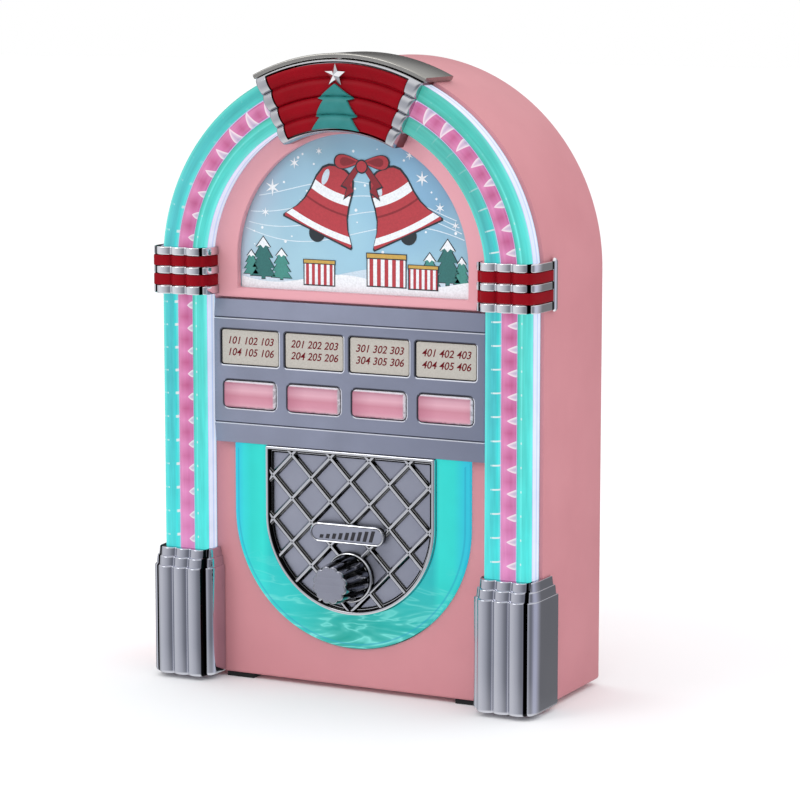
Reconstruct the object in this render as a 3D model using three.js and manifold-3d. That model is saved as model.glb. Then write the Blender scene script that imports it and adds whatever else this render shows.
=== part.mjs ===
// A table-top jukebox with a lit arch of three ribs. Millimetres, +Z up, front towards -Y,
// origin on the floor under the middle of its width and between knob face and cabinet back.
import * as THREE from 'three';
import { mergeVertices } from 'three/addons/utils/BufferGeometryUtils.js';
import Module from 'manifold-3d';

const wasm = await Module();
wasm.setup();

// Fits, and how finely round shapes are divided
const gap = 0.3;
const overrun = 6;
const archSteps = 20;
const ribSteps = 5;
const cornerSteps = 2;
const pinSteps = 10;
const roundSteps = 20;

// Cabinet: an arched wall with a flange round its front
const cabinetHalf = 75.3;
const cabinetBottom = 1.9;
const cabinetFront = -16.9;
const cabinetBack = 34;
const cabinetWall = 2.4;
const faceThick = 2.1;
const ledgeThick = 2;
const ledgeWide = 3;
const seatLap = 1.7;
const cabinetClear = cabinetHalf + gap;
const panelBack = cabinetFront + faceThick;
const behindPanel = panelBack + gap;
const flangeBack = behindPanel;
const ledgeBack = flangeBack + ledgeThick;

// Widths and heights of the front: from the side in to the light band, and from the band's foot up to
// the height at which the arch turns round, past the selector panel and into the cuffs
const archInset = 1.4;
const archWide = 18.1;
const lightInset = 8.3;
const lightBottom = 16;
const lightStraight = 24.6;
const selectorHigh = 52.4;
const selectorDown = 1.7;
const cuffDown = 10;
const tubeOuter = cabinetHalf - archInset;
const tubeInner = tubeOuter - archWide;
const lightHalf = tubeInner - lightInset;
const lightCentre = lightBottom + lightHalf;
const selectorBottom = lightCentre + lightStraight;
const selectorTop = selectorBottom + selectorHigh;
const cuffBottom = selectorTop + selectorDown;
const spring = cuffBottom + cuffDown;

// Lit arch: a clear channel with three half-round ribs on its walls
const archProud = 6.1;
const tubeWall = 1.2;
const webThick = 0.8;
const channelFloor = 0.8;
const ribRise = 1.9;
const ribCount = 3;
const legBottom = 44;
const stripHalf = 2.4;
const stripThick = 1;
const tubePitch = archWide / ribCount;
const channelBack = cabinetFront - gap;
const ribValley = cabinetFront - archProud;
const ribCrest = ribValley - ribRise;
const pocketFront = ribCrest - gap;
const seatHalf = tubeInner + seatLap;
const ledgeHalf = seatHalf - ledgeWide;

// Chrome bases: three tiers, each set back from the one below
const baseSideProud = 1.7;
const baseInnerLap = 3.2;
const baseBottom = 1.6;
const baseLap = 4.5;
const baseTierDrops = [6.6, 3.2, 0];
const baseSkin = 3.5;
const baseRise = 2;
const baseFrontStep = 1.25;
const baseInnerStep = 0.8;
const baseOuterStep = 0.4;
const baseBackReach = 12.3;
const baseBackStep = 1.6;
const columnTurn = 8.2;
const baseGroove = 1;
const grooveWide = 0.4;
const baseOuter = cabinetHalf + baseSideProud;
const baseInner = tubeInner - baseInnerLap;
const baseValley = pocketFront - baseSkin;

// Cuffs: chrome clasps with two red bands each
const cuffHigh = 17;
const cuffSideProud = 1.3;
const cuffInnerLap = 2.7;
const cuffSkin = 2.2;
const cuffRise = 1.9;
const cuffBackReach = 10.2;
const cuffLip = 3;
const cuffLipProud = 0.4;
const cuffGroove = 1.4;
const cuffNotch = 0.4;
const bandInset = 0.35;
const bandThick = 0.75;
const bandHeights = [[3, 7.3], [10, 14.1]];
const cuffTop = cuffBottom + cuffHigh;
const cuffOuter = cabinetHalf + cuffSideProud;
const cuffInner = tubeInner - cuffInnerLap;
const cuffValley = pocketFront - cuffSkin;
const cuffBackEdge = cabinetFront + cuffBackReach;

// Crown over the top of the arch
const crownHalfAngle = 26;
const crownLap = 5.9;
const crownCover = 1.7;
const crownRise = 1.4;
const crownRibs = 4;
const crownSteps = 8;
const crownFloor = 0.8;
const inlayHalfAngle = 22.4;
const inlayMargin = 1.1;
const inlayDrop = 0.15;
const plateThick = 1.8;
const plateOverhang = 1.3;
const plateBackReach = 12.1;
const plateHalfAngle = 26.4;
const treeThick = 0.8;
const treeDrop = 8.5;
const treeHigh = 16.6;
const treeHalfWide = 9.5;
const starPoints = 5;
const starRadius = 4.2;
const starDrop = 5.5;
const starThick = 1.3;
const starWaistShare = 0.42;
const crownInner = tubeInner - crownLap;
const crownValley = pocketFront - crownCover;
const inlayInner = crownInner + inlayMargin;
const inlayOuter = cabinetHalf - inlayMargin;
const treeTop = spring + cabinetHalf - treeDrop;
const starHeight = spring + cabinetHalf - starDrop;

// Selector panel with its cards and buttons
const selectorGap = 1.5;
const selectorProud = 3.9;
const selectorBevel = 0.9;
const lowerStripHigh = 7.5;
const upperStripHigh = 6.6;
const slotCount = 4;
const slotSide = 1.8;
const cardSpace = 2.95;
const cardHigh = 12.4;
const cardDown = 10.7;
const cardThick = 0.4;
const cardPocket = 1;
const cardCorner = 1.4;
const buttonSpace = 5.05;
const buttonHigh = 9.7;
const buttonUp = 10.45;
const buttonCorner = 1.6;
const buttonProud = 1.2;
const buttonFlange = 1.2;
const buttonFlangeThick = 1.2;
const buttonTravel = 1.5;
const slotMargin = 1.2;
const buttonBoardHigh = 26;
const buttonBoardInset = 4.3;
const boardThick = 1.6;
const postRadius = 1.6;
const switchSize = 6;
const switchRoom = 3.2;
const selectorHalf = tubeInner - selectorGap;
const selectorFront = cabinetFront - selectorProud;
const selectorEdgeFront = selectorFront + selectorBevel;
const lowerStripTop = selectorBottom + lowerStripHigh;
const upperStripBottom = selectorTop - upperStripHigh;
const slotPitch = 2 * (selectorHalf - slotSide) / slotCount;
const cardWide = slotPitch - cardSpace;
const cardHeight = upperStripBottom - cardDown;
const buttonWide = slotPitch - buttonSpace;
const buttonHeight = lowerStripTop + buttonUp;
const buttonFront = selectorFront - buttonProud;
const buttonBoardHalf = selectorHalf - buttonBoardInset;

// Front panel: picture window with a sloping frame round it
const bezelGap = 0.5;
const bezelUp = 0.6;
const bezelWide = 9;
const sillHigh = 3.4;
const windowRise = 2.6;
const bezelProud = 1.8;
const bezelInnerProud = 0.4;
const bezelRim = 0.8;
const pictureLap = 2;
const pictureThick = 1.5;
const bezelHalf = tubeInner - bezelGap;
const bezelBottom = selectorTop + bezelUp;
const bezelOuterFront = cabinetFront - bezelProud;
const bezelInnerFront = cabinetFront - bezelInnerProud;
const windowHalf = bezelHalf - bezelWide;
const windowBottom = bezelBottom + sillHigh;
const windowCentre = spring + windowRise;

// Grille, light band round it, badge and volume knob
const lightProud = 1.4;
const lightWide = 13.3;
const grilleDrop = 0.9;
const grilleThick = 2;
const rimWide = 1.4;
const rimThick = 1.9;
const barWide = 1.6;
const barThick = 1.1;
const latticeAcross = 15.75;
const latticeUp = 16;
const latticeRise = 14.4;
const lightBoardLap = 2.5;
const lightBoardThick = 1.5;
const badgeHalf = 14.9;
const badgeRadius = 3.5;
const badgeUp = 16.1;
const badgeThick = 2.1;
const knobUp = 13.7;
const knobLong = 14.4;
const knobFrontRadius = 6.9;
const knobBackRadius = 8.4;
const knobLobes = 12;
const lobeSteps = 4;
const lobeDeep = 0.7;
const knobFaceThick = 2;
const collarRadius = 9.3;
const collarThick = 1.9;
const shaftRadius = 3;
const shaftShort = 1.5;
const bushingWall = 1.2;
const potRadius = 8.5;
const potDeep = 8;
const lightFront = cabinetFront - lightProud;
const grilleHalf = lightHalf - lightWide;
const grilleCentre = lightCentre - grilleDrop;
const grilleTop = selectorBottom - gap;
const grilleFront = panelBack - gap - grilleThick;
const latticeBack = grilleFront - gap;
const latticeHeight = grilleCentre + latticeRise;
const collarFront = latticeBack - collarThick;
const knobHeight = grilleCentre - grilleHalf + knobUp;
const knobBack = collarFront - gap;
const knobFace = knobBack - knobLong;
const badgeHeight = knobHeight + badgeUp;
const potFront = behindPanel + lightBoardThick + gap;
const potBack = potFront + potDeep;
const shaftBack = potBack - shaftShort;

// Rear cover, its screws, speaker, boards, switch and battery bay
const coverHeadroom = 2.1;
const coverThick = 2.2;
const bossRadius = 3.5;
const bossInset = 3.3;
const bossHeight = 16;
const bossAngle = 45;
const screwRadius = 1.5;
const screwHeadRadius = 3;
const screwHead = 1.5;
const screwLength = 8;
const speakerRiseShare = 0.27;
const speakerRadius = 27;
const speakerFlange = 1.8;
const speakerRimWide = 3;
const basketWall = 2;
const coilRadius = 4.7;
const speakerDeep = 15.7;
const coneRadius = 22.2;
const coneThick = 1;
const magnetRadius = 14;
const magnetThick = 6.7;
const ventCount = 9;
const ventPitch = 4.6;
const ventWide = 2;
const mainBoardSize = [52, 40];
const mainBoardDown = 36.2;
const mainBoardInset = 8.9;
const mainBoardStand = 8.4;
const chipThick = 1.6;
const chipCount = 3;
const chipWideShare = 0.2;
const bayHeight = 43;
const cellRadius = 7.25;
const cellLength = 49.5;
const cellNub = 1;
const cellNubRadius = 2.7;
const cellCount = 3;
const cellSpace = 0.7;
const contactRoom = 4.25;
const trayWall = 1.5;
const contactThick = 0.5;
const contactMargin = 1.2;
const doorMargin = 0.8;
const powerHeight = 36;
const sliderSize = 4;
const sliderTravel = 4;
const sliderProud = 1.2;
const powerBody = [14, 8, 6];
const powerPocketDeep = 3;
const coverBack = cabinetBack - coverHeadroom;
const coverFront = coverBack - coverThick;
const behindCover = coverFront - gap;
const insideHalf = cabinetHalf - cabinetWall;
const speakerHeight = spring + speakerRiseShare * insideHalf;
const mainBoardCentre = [mainBoardInset + mainBoardSize[0] / 2 - insideHalf, spring - mainBoardDown];
const cellPitch = 2 * cellRadius + cellSpace;
const trayHalf = cellLength / 2 + contactRoom;
const powerAcross = (trayHalf + trayWall + insideHalf) / 2;

// Feet
const footWide = 11;
const footDeep = 10;
const footInset = 5.8;
const footFrontInset = 0.5;
const footRearInset = 2.5;
const footAcross = baseInner - footInset;
const footFront = cabinetFront + footFrontInset;
const footRear = cabinetBack - footRearInset;

const jukebox = new THREE.Group();
jukebox.name = 'jukebox';

const finishes = {
  pinkPaint: { color: 0xdc8f95, roughness: 0.5, metalness: 0 },
  chrome: { color: 0xc9cad0, roughness: 0.12, metalness: 1 },
  greyChrome: { color: 0x9b9791, roughness: 0.2, metalness: 1 },
  satinMetal: { color: 0x8d91a3, roughness: 0.4, metalness: 0.8 },
  clearPlastic: { color: 0xf2f6fb, roughness: 0.15, metalness: 0 },
  tealPlastic: { color: 0x55dccb, roughness: 0.2, metalness: 0 },
  pinkPlastic: { color: 0xf08cc0, roughness: 0.2, metalness: 0 },
  redPaint: { color: 0x8f0812, roughness: 0.35, metalness: 0 },
  greenPaint: { color: 0x2b8f88, roughness: 0.4, metalness: 0 },
  creamCard: { color: 0xece3cf, roughness: 0.8, metalness: 0 },
  picturePrint: { color: 0x86b7e0, roughness: 0.6, metalness: 0 },
  blackPlastic: { color: 0x1c1c1e, roughness: 0.6, metalness: 0 },
  rubber: { color: 0x0d0d0d, roughness: 0.9, metalness: 0 },
  circuitBoard: { color: 0x1d5b37, roughness: 0.5, metalness: 0 },
  paperCone: { color: 0x2a2a2c, roughness: 0.9, metalness: 0 },
  steel: { color: 0xa9abad, roughness: 0.3, metalness: 1 },
  cellWrap: { color: 0x4a6fa5, roughness: 0.4, metalness: 0.2 },
};

function addPart(name, geometry, finish) {
  const mesh = new THREE.Mesh(geometry, new THREE.MeshStandardMaterial(finishes[finish]));
  mesh.name = name;
  jukebox.add(mesh);
}

// Faces point outwards when the enclosed volume comes out positive; otherwise each triangle is turned.
function faceOutwards(geometry) {
  const position = geometry.getAttribute('position');
  const index = geometry.index.array;
  const [a, b, c] = [new THREE.Vector3(), new THREE.Vector3(), new THREE.Vector3()];
  let volume = 0;
  for (let i = 0; i < index.length; i += 3) {
    a.fromBufferAttribute(position, index[i]);
    b.fromBufferAttribute(position, index[i + 1]);
    c.fromBufferAttribute(position, index[i + 2]);
    volume += a.dot(b.cross(c));
  }
  if (volume < 0) {
    for (let i = 0; i < index.length; i += 3) {
      [index[i + 1], index[i + 2]] = [index[i + 2], index[i + 1]];
    }
  }
  return geometry;
}

function indexedGeometry(positions, index) {
  const geometry = new THREE.BufferGeometry();
  geometry.setAttribute('position', new THREE.Float32BufferAttribute(positions, 3));
  geometry.setIndex(new THREE.Uint32BufferAttribute(index, 1));
  return geometry;
}

function toSolid(geometry) {
  const bare = geometry.clone();
  bare.deleteAttribute('normal');
  bare.deleteAttribute('uv');
  const merged = mergeVertices(bare);
  const vertProperties = new Float32Array(merged.getAttribute('position').array);
  const triVerts = new Uint32Array(merged.index.array);
  return new wasm.Manifold(new wasm.Mesh({ numProp: 3, vertProperties, triVerts }));
}

function toGeometry(solid) {
  const mesh = solid.getMesh();
  return indexedGeometry(Array.from(mesh.vertProperties), Array.from(mesh.triVerts));
}

function join(...geometries) {
  return toGeometry(geometries.map(toSolid).reduce((whole, next) => whole.add(next)));
}

function cut(body, ...tools) {
  return toGeometry(tools.map(toSolid).reduce((rest, tool) => rest.subtract(tool), toSolid(body)));
}

function common(one, other) {
  return toGeometry(toSolid(one).intersect(toSolid(other)));
}

// Rings of points, as many in each, joined by walls and closed at both ends. The end faces are
// divided by the flat outline that the rings share.
function loft(outline, rings) {
  const index = [];
  const count = outline.length;
  const last = (rings.length - 1) * count;
  for (let ring = 0; ring < rings.length - 1; ring += 1) {
    for (let k = 0; k < count; k += 1) {
      const here = ring * count + k;
      const next = ring * count + (k + 1) % count;
      index.push(here, next, here + count, next, next + count, here + count);
    }
  }
  const flat = outline.map(([across, up]) => new THREE.Vector2(across, up));
  const clockwise = THREE.ShapeUtils.isClockWise(flat);
  for (const [a, b, c] of THREE.ShapeUtils.triangulateShape(flat, [])) {
    const [second, third] = clockwise ? [b, c] : [c, b];
    index.push(a, second, third, last + a, last + third, last + second);
  }
  return faceOutwards(indexedGeometry(rings.flat(2), index));
}

// A section of [radius, y] points carried round the arch's centre at the given stations.
function sweepRound(section, stations) {
  const rings = stations.map(({ angle, drop }) => section.map(([radius, y]) => [
    Math.cos(angle) * radius,
    y,
    spring - drop + Math.sin(angle) * radius,
  ]));
  return loft(section, rings);
}

// Up the left leg, round the top and down the right leg.
function archStations(bottom) {
  const drop = spring - bottom;
  const stations = [{ angle: Math.PI, drop }];
  for (let i = 0; i <= archSteps; i += 1) {
    stations.push({ angle: Math.PI * (1 - i / archSteps), drop: 0 });
  }
  stations.push({ angle: 0, drop });
  return stations;
}

// A stretch of the arch on both sides of its top.
function crownStations(halfDegrees) {
  const half = THREE.MathUtils.degToRad(halfDegrees);
  return Array.from({ length: crownSteps + 1 }, (_, i) => (
    { angle: Math.PI / 2 + half * (1 - 2 * i / crownSteps), drop: 0 }
  ));
}

// Half-round ribs side by side: [across, y] points, each rib half an ellipse bulging to the front.
function scallops(from, to, count, valley, rise) {
  const wide = (to - from) / count;
  const points = [[from, valley]];
  for (let rib = 0; rib < count; rib += 1) {
    for (let k = 1; k <= ribSteps; k += 1) {
      const turn = Math.PI * k / ribSteps;
      const across = from + wide * (rib + (1 - Math.cos(turn)) / 2);
      points.push([across, valley - rise * Math.sin(turn)]);
    }
  }
  return points;
}

// A rounded column: a quarter ellipse from its front point round to its side point.
function column(front, side) {
  return Array.from({ length: cornerSteps + 1 }, (_, k) => {
    const turn = Math.PI / 2 * k / cornerSteps;
    const across = front[0] + (side[0] - front[0]) * Math.sin(turn);
    return [across, side[1] + (front[1] - side[1]) * Math.cos(turn)];
  });
}

// Plan of a clasp round a leg of the arch: a column, a groove, the ribs, a groove and a column.
function claspPlan({ inner, outer, valley, rise, groove, innerBack, outerBack }) {
  const turnAt = (back) => Math.min(valley + columnTurn, back - gap);
  const innerFront = [tubeInner - grooveWide, valley + gap];
  const outerFront = [tubeOuter + grooveWide, valley + gap];
  return [
    [inner, innerBack],
    ...column(innerFront, [inner, turnAt(innerBack)]).reverse(),
    [tubeInner - grooveWide, valley + groove],
    [tubeInner, valley + groove],
    ...scallops(tubeInner, tubeOuter, ribCount, valley, rise),
    [tubeOuter, valley + groove],
    [tubeOuter + grooveWide, valley + groove],
    ...column(outerFront, [outer, turnAt(outerBack)]),
    [outer, outerBack],
  ];
}

function shapeFrom(points) {
  return new THREE.Shape(points.map(([across, up]) => new THREE.Vector2(across, up)));
}

// A plan of [x, y] points raised from one height to another.
function prism(points, bottom, top) {
  const geometry = new THREE.ExtrudeGeometry(shapeFrom(points), {
    depth: top - bottom,
    bevelEnabled: false,
  });
  return geometry.translate(0, 0, bottom);
}

// A shape drawn from the front, as thick as the step from its back face to its front face.
function slab(shape, back, front, curveSegments = archSteps) {
  const geometry = new THREE.ExtrudeGeometry(shape, {
    depth: back - front,
    bevelEnabled: false,
    curveSegments,
  });
  return geometry.rotateX(Math.PI / 2).translate(0, back, 0);
}

function archShape(half, bottom, centre = spring) {
  const shape = new THREE.Shape();
  shape.moveTo(-half, bottom);
  shape.lineTo(-half, centre);
  shape.absarc(0, centre, half, Math.PI, 0, true);
  shape.lineTo(half, bottom);
  return shape;
}

// Straight sides down to a half-round bottom.
function shieldShape(half, top, centre) {
  const shape = new THREE.Shape();
  shape.moveTo(-half, top);
  shape.lineTo(-half, centre);
  shape.absarc(0, centre, half, Math.PI, 2 * Math.PI, false);
  shape.lineTo(half, top);
  return shape;
}

function roundedShape(x, z, wide, high, radius) {
  const [left, right] = [x - wide / 2, x + wide / 2];
  const [low, top] = [z - high / 2, z + high / 2];
  const shape = new THREE.Shape();
  shape.moveTo(left + radius, low);
  shape.lineTo(right - radius, low);
  shape.absarc(right - radius, low + radius, radius, -Math.PI / 2, 0, false);
  shape.lineTo(right, top - radius);
  shape.absarc(right - radius, top - radius, radius, 0, Math.PI / 2, false);
  shape.lineTo(left + radius, top);
  shape.absarc(left + radius, top - radius, radius, Math.PI / 2, Math.PI, false);
  shape.lineTo(left, low + radius);
  shape.absarc(left + radius, low + radius, radius, Math.PI, Math.PI * 3 / 2, false);
  return shape;
}

function block([x0, x1], [y0, y1], [z0, z1]) {
  const geometry = new THREE.BoxGeometry(x1 - x0, y1 - y0, z1 - z0);
  return geometry.translate((x0 + x1) / 2, (y0 + y1) / 2, (z0 + z1) / 2);
}

// A round pin along Y between two faces.
function pin(radius, x, z, back, front, sides = pinSteps) {
  const geometry = new THREE.CylinderGeometry(radius, radius, back - front, sides);
  return geometry.translate(x, (back + front) / 2, z);
}

// A turned piece on an axis along Y: its profile is [radius, y] points.
function turned(profile, x, z, sides = roundSteps) {
  const points = profile.map(([radius, y]) => new THREE.Vector2(radius, y));
  const geometry = new THREE.LatheGeometry(points, sides).translate(x, 0, z);
  return faceOutwards(weld(geometry));
}

// One corner where points meet, so that a turned piece closes on itself.
function weld(geometry) {
  geometry.deleteAttribute('normal');
  geometry.deleteAttribute('uv');
  return mergeVertices(geometry);
}

function mirrored(geometry) {
  return faceOutwards(weld(geometry.clone().scale(-1, 1, 1)));
}

// Cabinet shell: wall, front flange, ledge behind the front panel and four screw bosses
function bossPlaces() {
  const reach = insideHalf - bossInset;
  const turn = THREE.MathUtils.degToRad(bossAngle);
  const up = spring + reach * Math.sin(turn);
  return [
    [-reach, bossHeight],
    [reach, bossHeight],
    [-reach * Math.cos(turn), up],
    [reach * Math.cos(turn), up],
  ];
}

function makeShell() {
  const body = slab(archShape(cabinetHalf, cabinetBottom), cabinetBack, cabinetFront);
  const room = archShape(insideHalf, cabinetBottom + cabinetWall);
  const ledge = archShape(ledgeHalf, cabinetBottom + cabinetWall);
  const seat = archShape(seatHalf, cabinetBottom - overrun);
  const hollow = cut(
    body,
    slab(room, cabinetBack + overrun, ledgeBack),
    slab(ledge, ledgeBack + overrun, cabinetFront - overrun),
    slab(seat, flangeBack, cabinetFront - overrun),
  );
  const bossFoot = ledgeBack - ledgeThick / 2;
  const bosses = bossPlaces().map(([x, z]) => pin(bossRadius, x, z, behindCover, bossFoot));
  const holeEnd = behindCover - screwLength;
  const holes = bossPlaces().map(([x, z]) => pin(screwRadius + gap, x, z, cabinetBack, holeEnd));
  return cut(join(hollow, ...bosses), ...holes);
}

addPart('cabinet_shell', makeShell(), 'pinkPaint');

// Front panel: the sloping frame round its window, a slot for the buttons, the light's opening,
// and posts on its back that carry the button board
const buttonHalfRow = slotPitch * (slotCount - 1) / 2;
const slotHalf = buttonHalfRow + buttonWide / 2 + buttonFlange + slotMargin;
const slotHigh = buttonHigh + 2 * (buttonFlange + slotMargin);
const buttonBoardFront = cabinetFront + faceThick + switchRoom;

function buttonPosts() {
  const across = buttonBoardHalf - 2 * postRadius;
  const up = buttonBoardHigh / 2 - postRadius;
  return [-1, 1].flatMap((side) => [-1, 1].map((end) => (
    pin(postRadius, side * across, buttonHeight + end * up, buttonBoardFront - gap, panelBack - gap)
  )));
}

function outlineRing(shape, y) {
  return shape.getPoints(archSteps).map((point) => [point.x, y, point.y]);
}

function makePanel() {
  const sheet = slab(archShape(seatHalf - gap, cabinetBottom), panelBack, cabinetFront);
  const frame = slab(archShape(bezelHalf, bezelBottom), panelBack - faceThick / 2, bezelOuterFront);
  const opening = archShape(windowHalf, windowBottom, windowCentre);
  const rim = archShape(bezelHalf - bezelRim, bezelBottom + bezelRim);
  const outline = opening.getPoints(archSteps).map((point) => [point.x, point.y]);
  const funnel = loft(outline, [
    outlineRing(opening, panelBack + overrun),
    outlineRing(opening, bezelInnerFront),
    outlineRing(rim, bezelOuterFront),
    outlineRing(rim, bezelOuterFront - overrun),
  ]);
  const slot = block(
    [-slotHalf, slotHalf],
    [cabinetFront - overrun, panelBack + overrun],
    [buttonHeight - slotHigh / 2, buttonHeight + slotHigh / 2],
  );
  const shield = shieldShape(lightHalf + gap, selectorBottom, lightCentre);
  const body = cut(
    join(sheet, frame),
    funnel,
    slot,
    slab(shield, panelBack + overrun, cabinetFront - overrun),
  );
  return join(body, ...buttonPosts());
}

addPart('front_panel', makePanel(), 'pinkPaint');

// Picture behind the window
function makePicture() {
  const outline = archShape(windowHalf + pictureLap, windowBottom - pictureLap, windowCentre);
  return slab(outline, behindPanel + pictureThick, behindPanel);
}

addPart('picture_panel', makePicture(), 'picturePrint');

// Lit arch: a clear channel, three ribs on its walls and a light strip in its middle cell
function channelSection() {
  const floor = channelBack - channelFloor;
  const wallEnd = ribValley + gap;
  const webs = Array.from({ length: ribCount - 1 }, (_, k) => {
    const middle = tubeInner + (k + 1) * tubePitch;
    return [
      [middle - webThick / 2, floor],
      [middle - webThick / 2, wallEnd],
      [middle + webThick / 2, wallEnd],
      [middle + webThick / 2, floor],
    ];
  }).flat();
  return [
    [tubeInner, channelBack],
    [tubeInner, wallEnd],
    [tubeInner + tubeWall, wallEnd],
    [tubeInner + tubeWall, floor],
    ...webs,
    [tubeOuter - tubeWall, floor],
    [tubeOuter - tubeWall, wallEnd],
    [tubeOuter, wallEnd],
    [tubeOuter, channelBack],
  ];
}

function ribSection(place) {
  const from = tubeInner + place * tubePitch + (place > 0 ? gap / 2 : 0);
  const to = tubeInner + (place + 1) * tubePitch - (place < ribCount - 1 ? gap / 2 : 0);
  return scallops(from, to, 1, ribValley, ribRise);
}

function makeStrip() {
  const middle = (tubeInner + tubeOuter) / 2;
  const back = channelBack - channelFloor - gap;
  const section = [
    [middle - stripHalf, back],
    [middle - stripHalf, back - stripThick],
    [middle + stripHalf, back - stripThick],
    [middle + stripHalf, back],
  ];
  return sweepRound(section, archStations(legBottom));
}

addPart('light_channel', sweepRound(channelSection(), archStations(legBottom)), 'clearPlastic');
addPart('arch_light_strip', makeStrip(), 'circuitBoard');
['tealPlastic', 'pinkPlastic', 'tealPlastic'].forEach((finish, place) => {
  const name = ['arch_rib_inner', 'arch_rib_middle', 'arch_rib_outer'][place];
  addPart(name, sweepRound(ribSection(place), archStations(legBottom)), finish);
});

// The space that the arch takes in a clasp, open at the back
function archPocket(bottom) {
  const section = [
    [tubeInner - gap, channelBack + overrun],
    [tubeInner - gap, pocketFront],
    [tubeOuter + gap, pocketFront],
    [tubeOuter + gap, channelBack + overrun],
  ];
  return sweepRound(section, archStations(bottom));
}

// Chrome bases
function makeBase() {
  const tiers = baseTierDrops.map((drop, step) => {
    const top = legBottom + baseLap - drop;
    const plan = claspPlan({
      inner: baseInner + step * baseInnerStep,
      outer: baseOuter - step * baseOuterStep,
      valley: baseValley + step * baseFrontStep,
      rise: baseRise,
      groove: baseGroove,
      innerBack: channelBack,
      outerBack: channelBack,
    });
    const outer = baseOuter - step * baseOuterStep;
    const backEdge = cabinetFront + baseBackReach - step * baseBackStep;
    const cheek = block([cabinetClear, outer], [channelBack - overrun / 2, backEdge], [baseBottom, top]);
    return join(prism(plan, baseBottom, top), cheek);
  });
  return cut(join(...tiers), archPocket(legBottom - gap));
}

// Cuffs: chrome core with grooves, a cheek beside the cabinet that ends in a lip, and red bands
function cuffBody(inset, bottom, top) {
  const outer = cuffOuter - inset;
  const plan = claspPlan({
    inner: cuffInner + inset,
    outer,
    valley: cuffValley + inset,
    rise: cuffRise,
    groove: cuffNotch,
    innerBack: bezelOuterFront - gap,
    outerBack: channelBack,
  });
  return prism(plan, bottom, top);
}

function cuffCheek(inset, bottom, top, backEdge) {
  return block([cabinetClear, cuffOuter - inset], [channelBack - overrun / 2, backEdge], [bottom, top]);
}

const bandZones = bandHeights.map(([low, high]) => [cuffBottom + low, cuffBottom + high]);

function bandReach(bottom, top, backEdge) {
  return block(
    [cuffInner - overrun, baseOuter + overrun],
    [cuffValley - overrun, backEdge],
    [bottom, top],
  );
}

function makeCuff() {
  const lipFront = cuffBackEdge - cuffLip;
  const whole = join(
    cuffBody(0, cuffBottom, cuffTop),
    cuffCheek(0, cuffBottom, cuffTop, cuffBackEdge),
    block([cabinetClear, cuffOuter + cuffLipProud], [lipFront, cuffBackEdge], [cuffBottom, cuffTop]),
  );
  const grooves = bandZones.map(([low, high]) => (
    cut(bandReach(low, high, lipFront), cuffBody(cuffGroove, low - overrun, high + overrun))
  ));
  return cut(whole, ...grooves, archPocket(cuffBottom - overrun));
}

function makeBand([low, high]) {
  const [bottom, top] = [low + gap / 2, high - gap / 2];
  const backEdge = cuffBackEdge - cuffLip - gap;
  const outside = join(cuffBody(bandInset, bottom, top), cuffCheek(bandInset, bottom, top, backEdge));
  const inside = cuffBody(bandInset + bandThick, low - overrun, high + overrun);
  return cut(outside, inside, archPocket(low - overrun));
}

const base = makeBase();
const cuff = makeCuff();
const bands = bandZones.map(makeBand);
for (const [side, place] of [['right', (piece) => piece], ['left', mirrored]]) {
  addPart(`base_${side}`, place(base), 'chrome');
  addPart(`cuff_${side}`, place(cuff), 'chrome');
  addPart(`cuff_band_${side}_lower`, place(bands[0]), 'redPaint');
  addPart(`cuff_band_${side}_upper`, place(bands[1]), 'redPaint');
}

// Crown: a ribbed chrome saddle over the arch with a red inlay, a tree, a star and a plate on top
function crownProfile(forward) {
  return scallops(crownInner, cabinetHalf, crownRibs, crownValley - forward, crownRise);
}

function makeCrownFrame() {
  const recessFloor = pocketFront - crownFloor;
  const section = [
    [crownInner, bezelOuterFront - gap],
    ...crownProfile(0),
    [cabinetHalf, channelBack],
    [tubeOuter + gap, channelBack],
    [tubeOuter + gap, pocketFront],
    [tubeInner - gap, pocketFront],
    [tubeInner - gap, bezelOuterFront - gap],
  ];
  const recess = [
    [inlayInner, recessFloor],
    [inlayInner, recessFloor - overrun],
    [inlayOuter, recessFloor - overrun],
    [inlayOuter, recessFloor],
  ];
  const sector = sweepRound(section, crownStations(crownHalfAngle));
  return cut(sector, sweepRound(recess, crownStations(inlayHalfAngle)));
}

function crownSkin(back, front) {
  const section = [
    ...crownProfile(front),
    ...crownProfile(back).reverse(),
  ];
  return sweepRound(section, crownStations(inlayHalfAngle));
}

function makeInlay() {
  const back = pocketFront - crownFloor - gap;
  const section = [
    [crownInner, back],
    ...crownProfile(-inlayDrop),
    [cabinetHalf, back],
  ];
  const whole = sweepRound(section, crownStations(crownHalfAngle));
  const inset = THREE.MathUtils.radToDeg(gap / inlayInner);
  const reach = [
    [inlayInner + gap, back + overrun],
    [inlayInner + gap, back - overrun],
    [inlayOuter - gap, back - overrun],
    [inlayOuter - gap, back + overrun],
  ];
  return common(whole, sweepRound(reach, crownStations(inlayHalfAngle - inset)));
}

// Three tiers from the tip down: each corner and the notch under it, as shares of half the tree's
// width and of its height
const tierShares = [
  [0.75, 0.31],
  [0.5, 0.34],
  [0.85, 0.69],
  [0.66, 0.71],
  [1, 1],
];

function makeTree() {
  const edge = tierShares.map(([across, down]) => [
    treeHalfWide * across,
    treeTop - treeHigh * down,
  ]);
  const right = [...edge, [treeHalfWide, treeTop - treeHigh - overrun]];
  const left = right.toReversed().map(([across, height]) => [-across, height]);
  const tip = [0, treeTop];
  const outline = slab(shapeFrom([tip, ...right, ...left]), cabinetFront, knobFace);
  const forward = gap - inlayDrop;
  return common(crownSkin(forward, forward + treeThick), common(outline, treeZone()));
}

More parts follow.
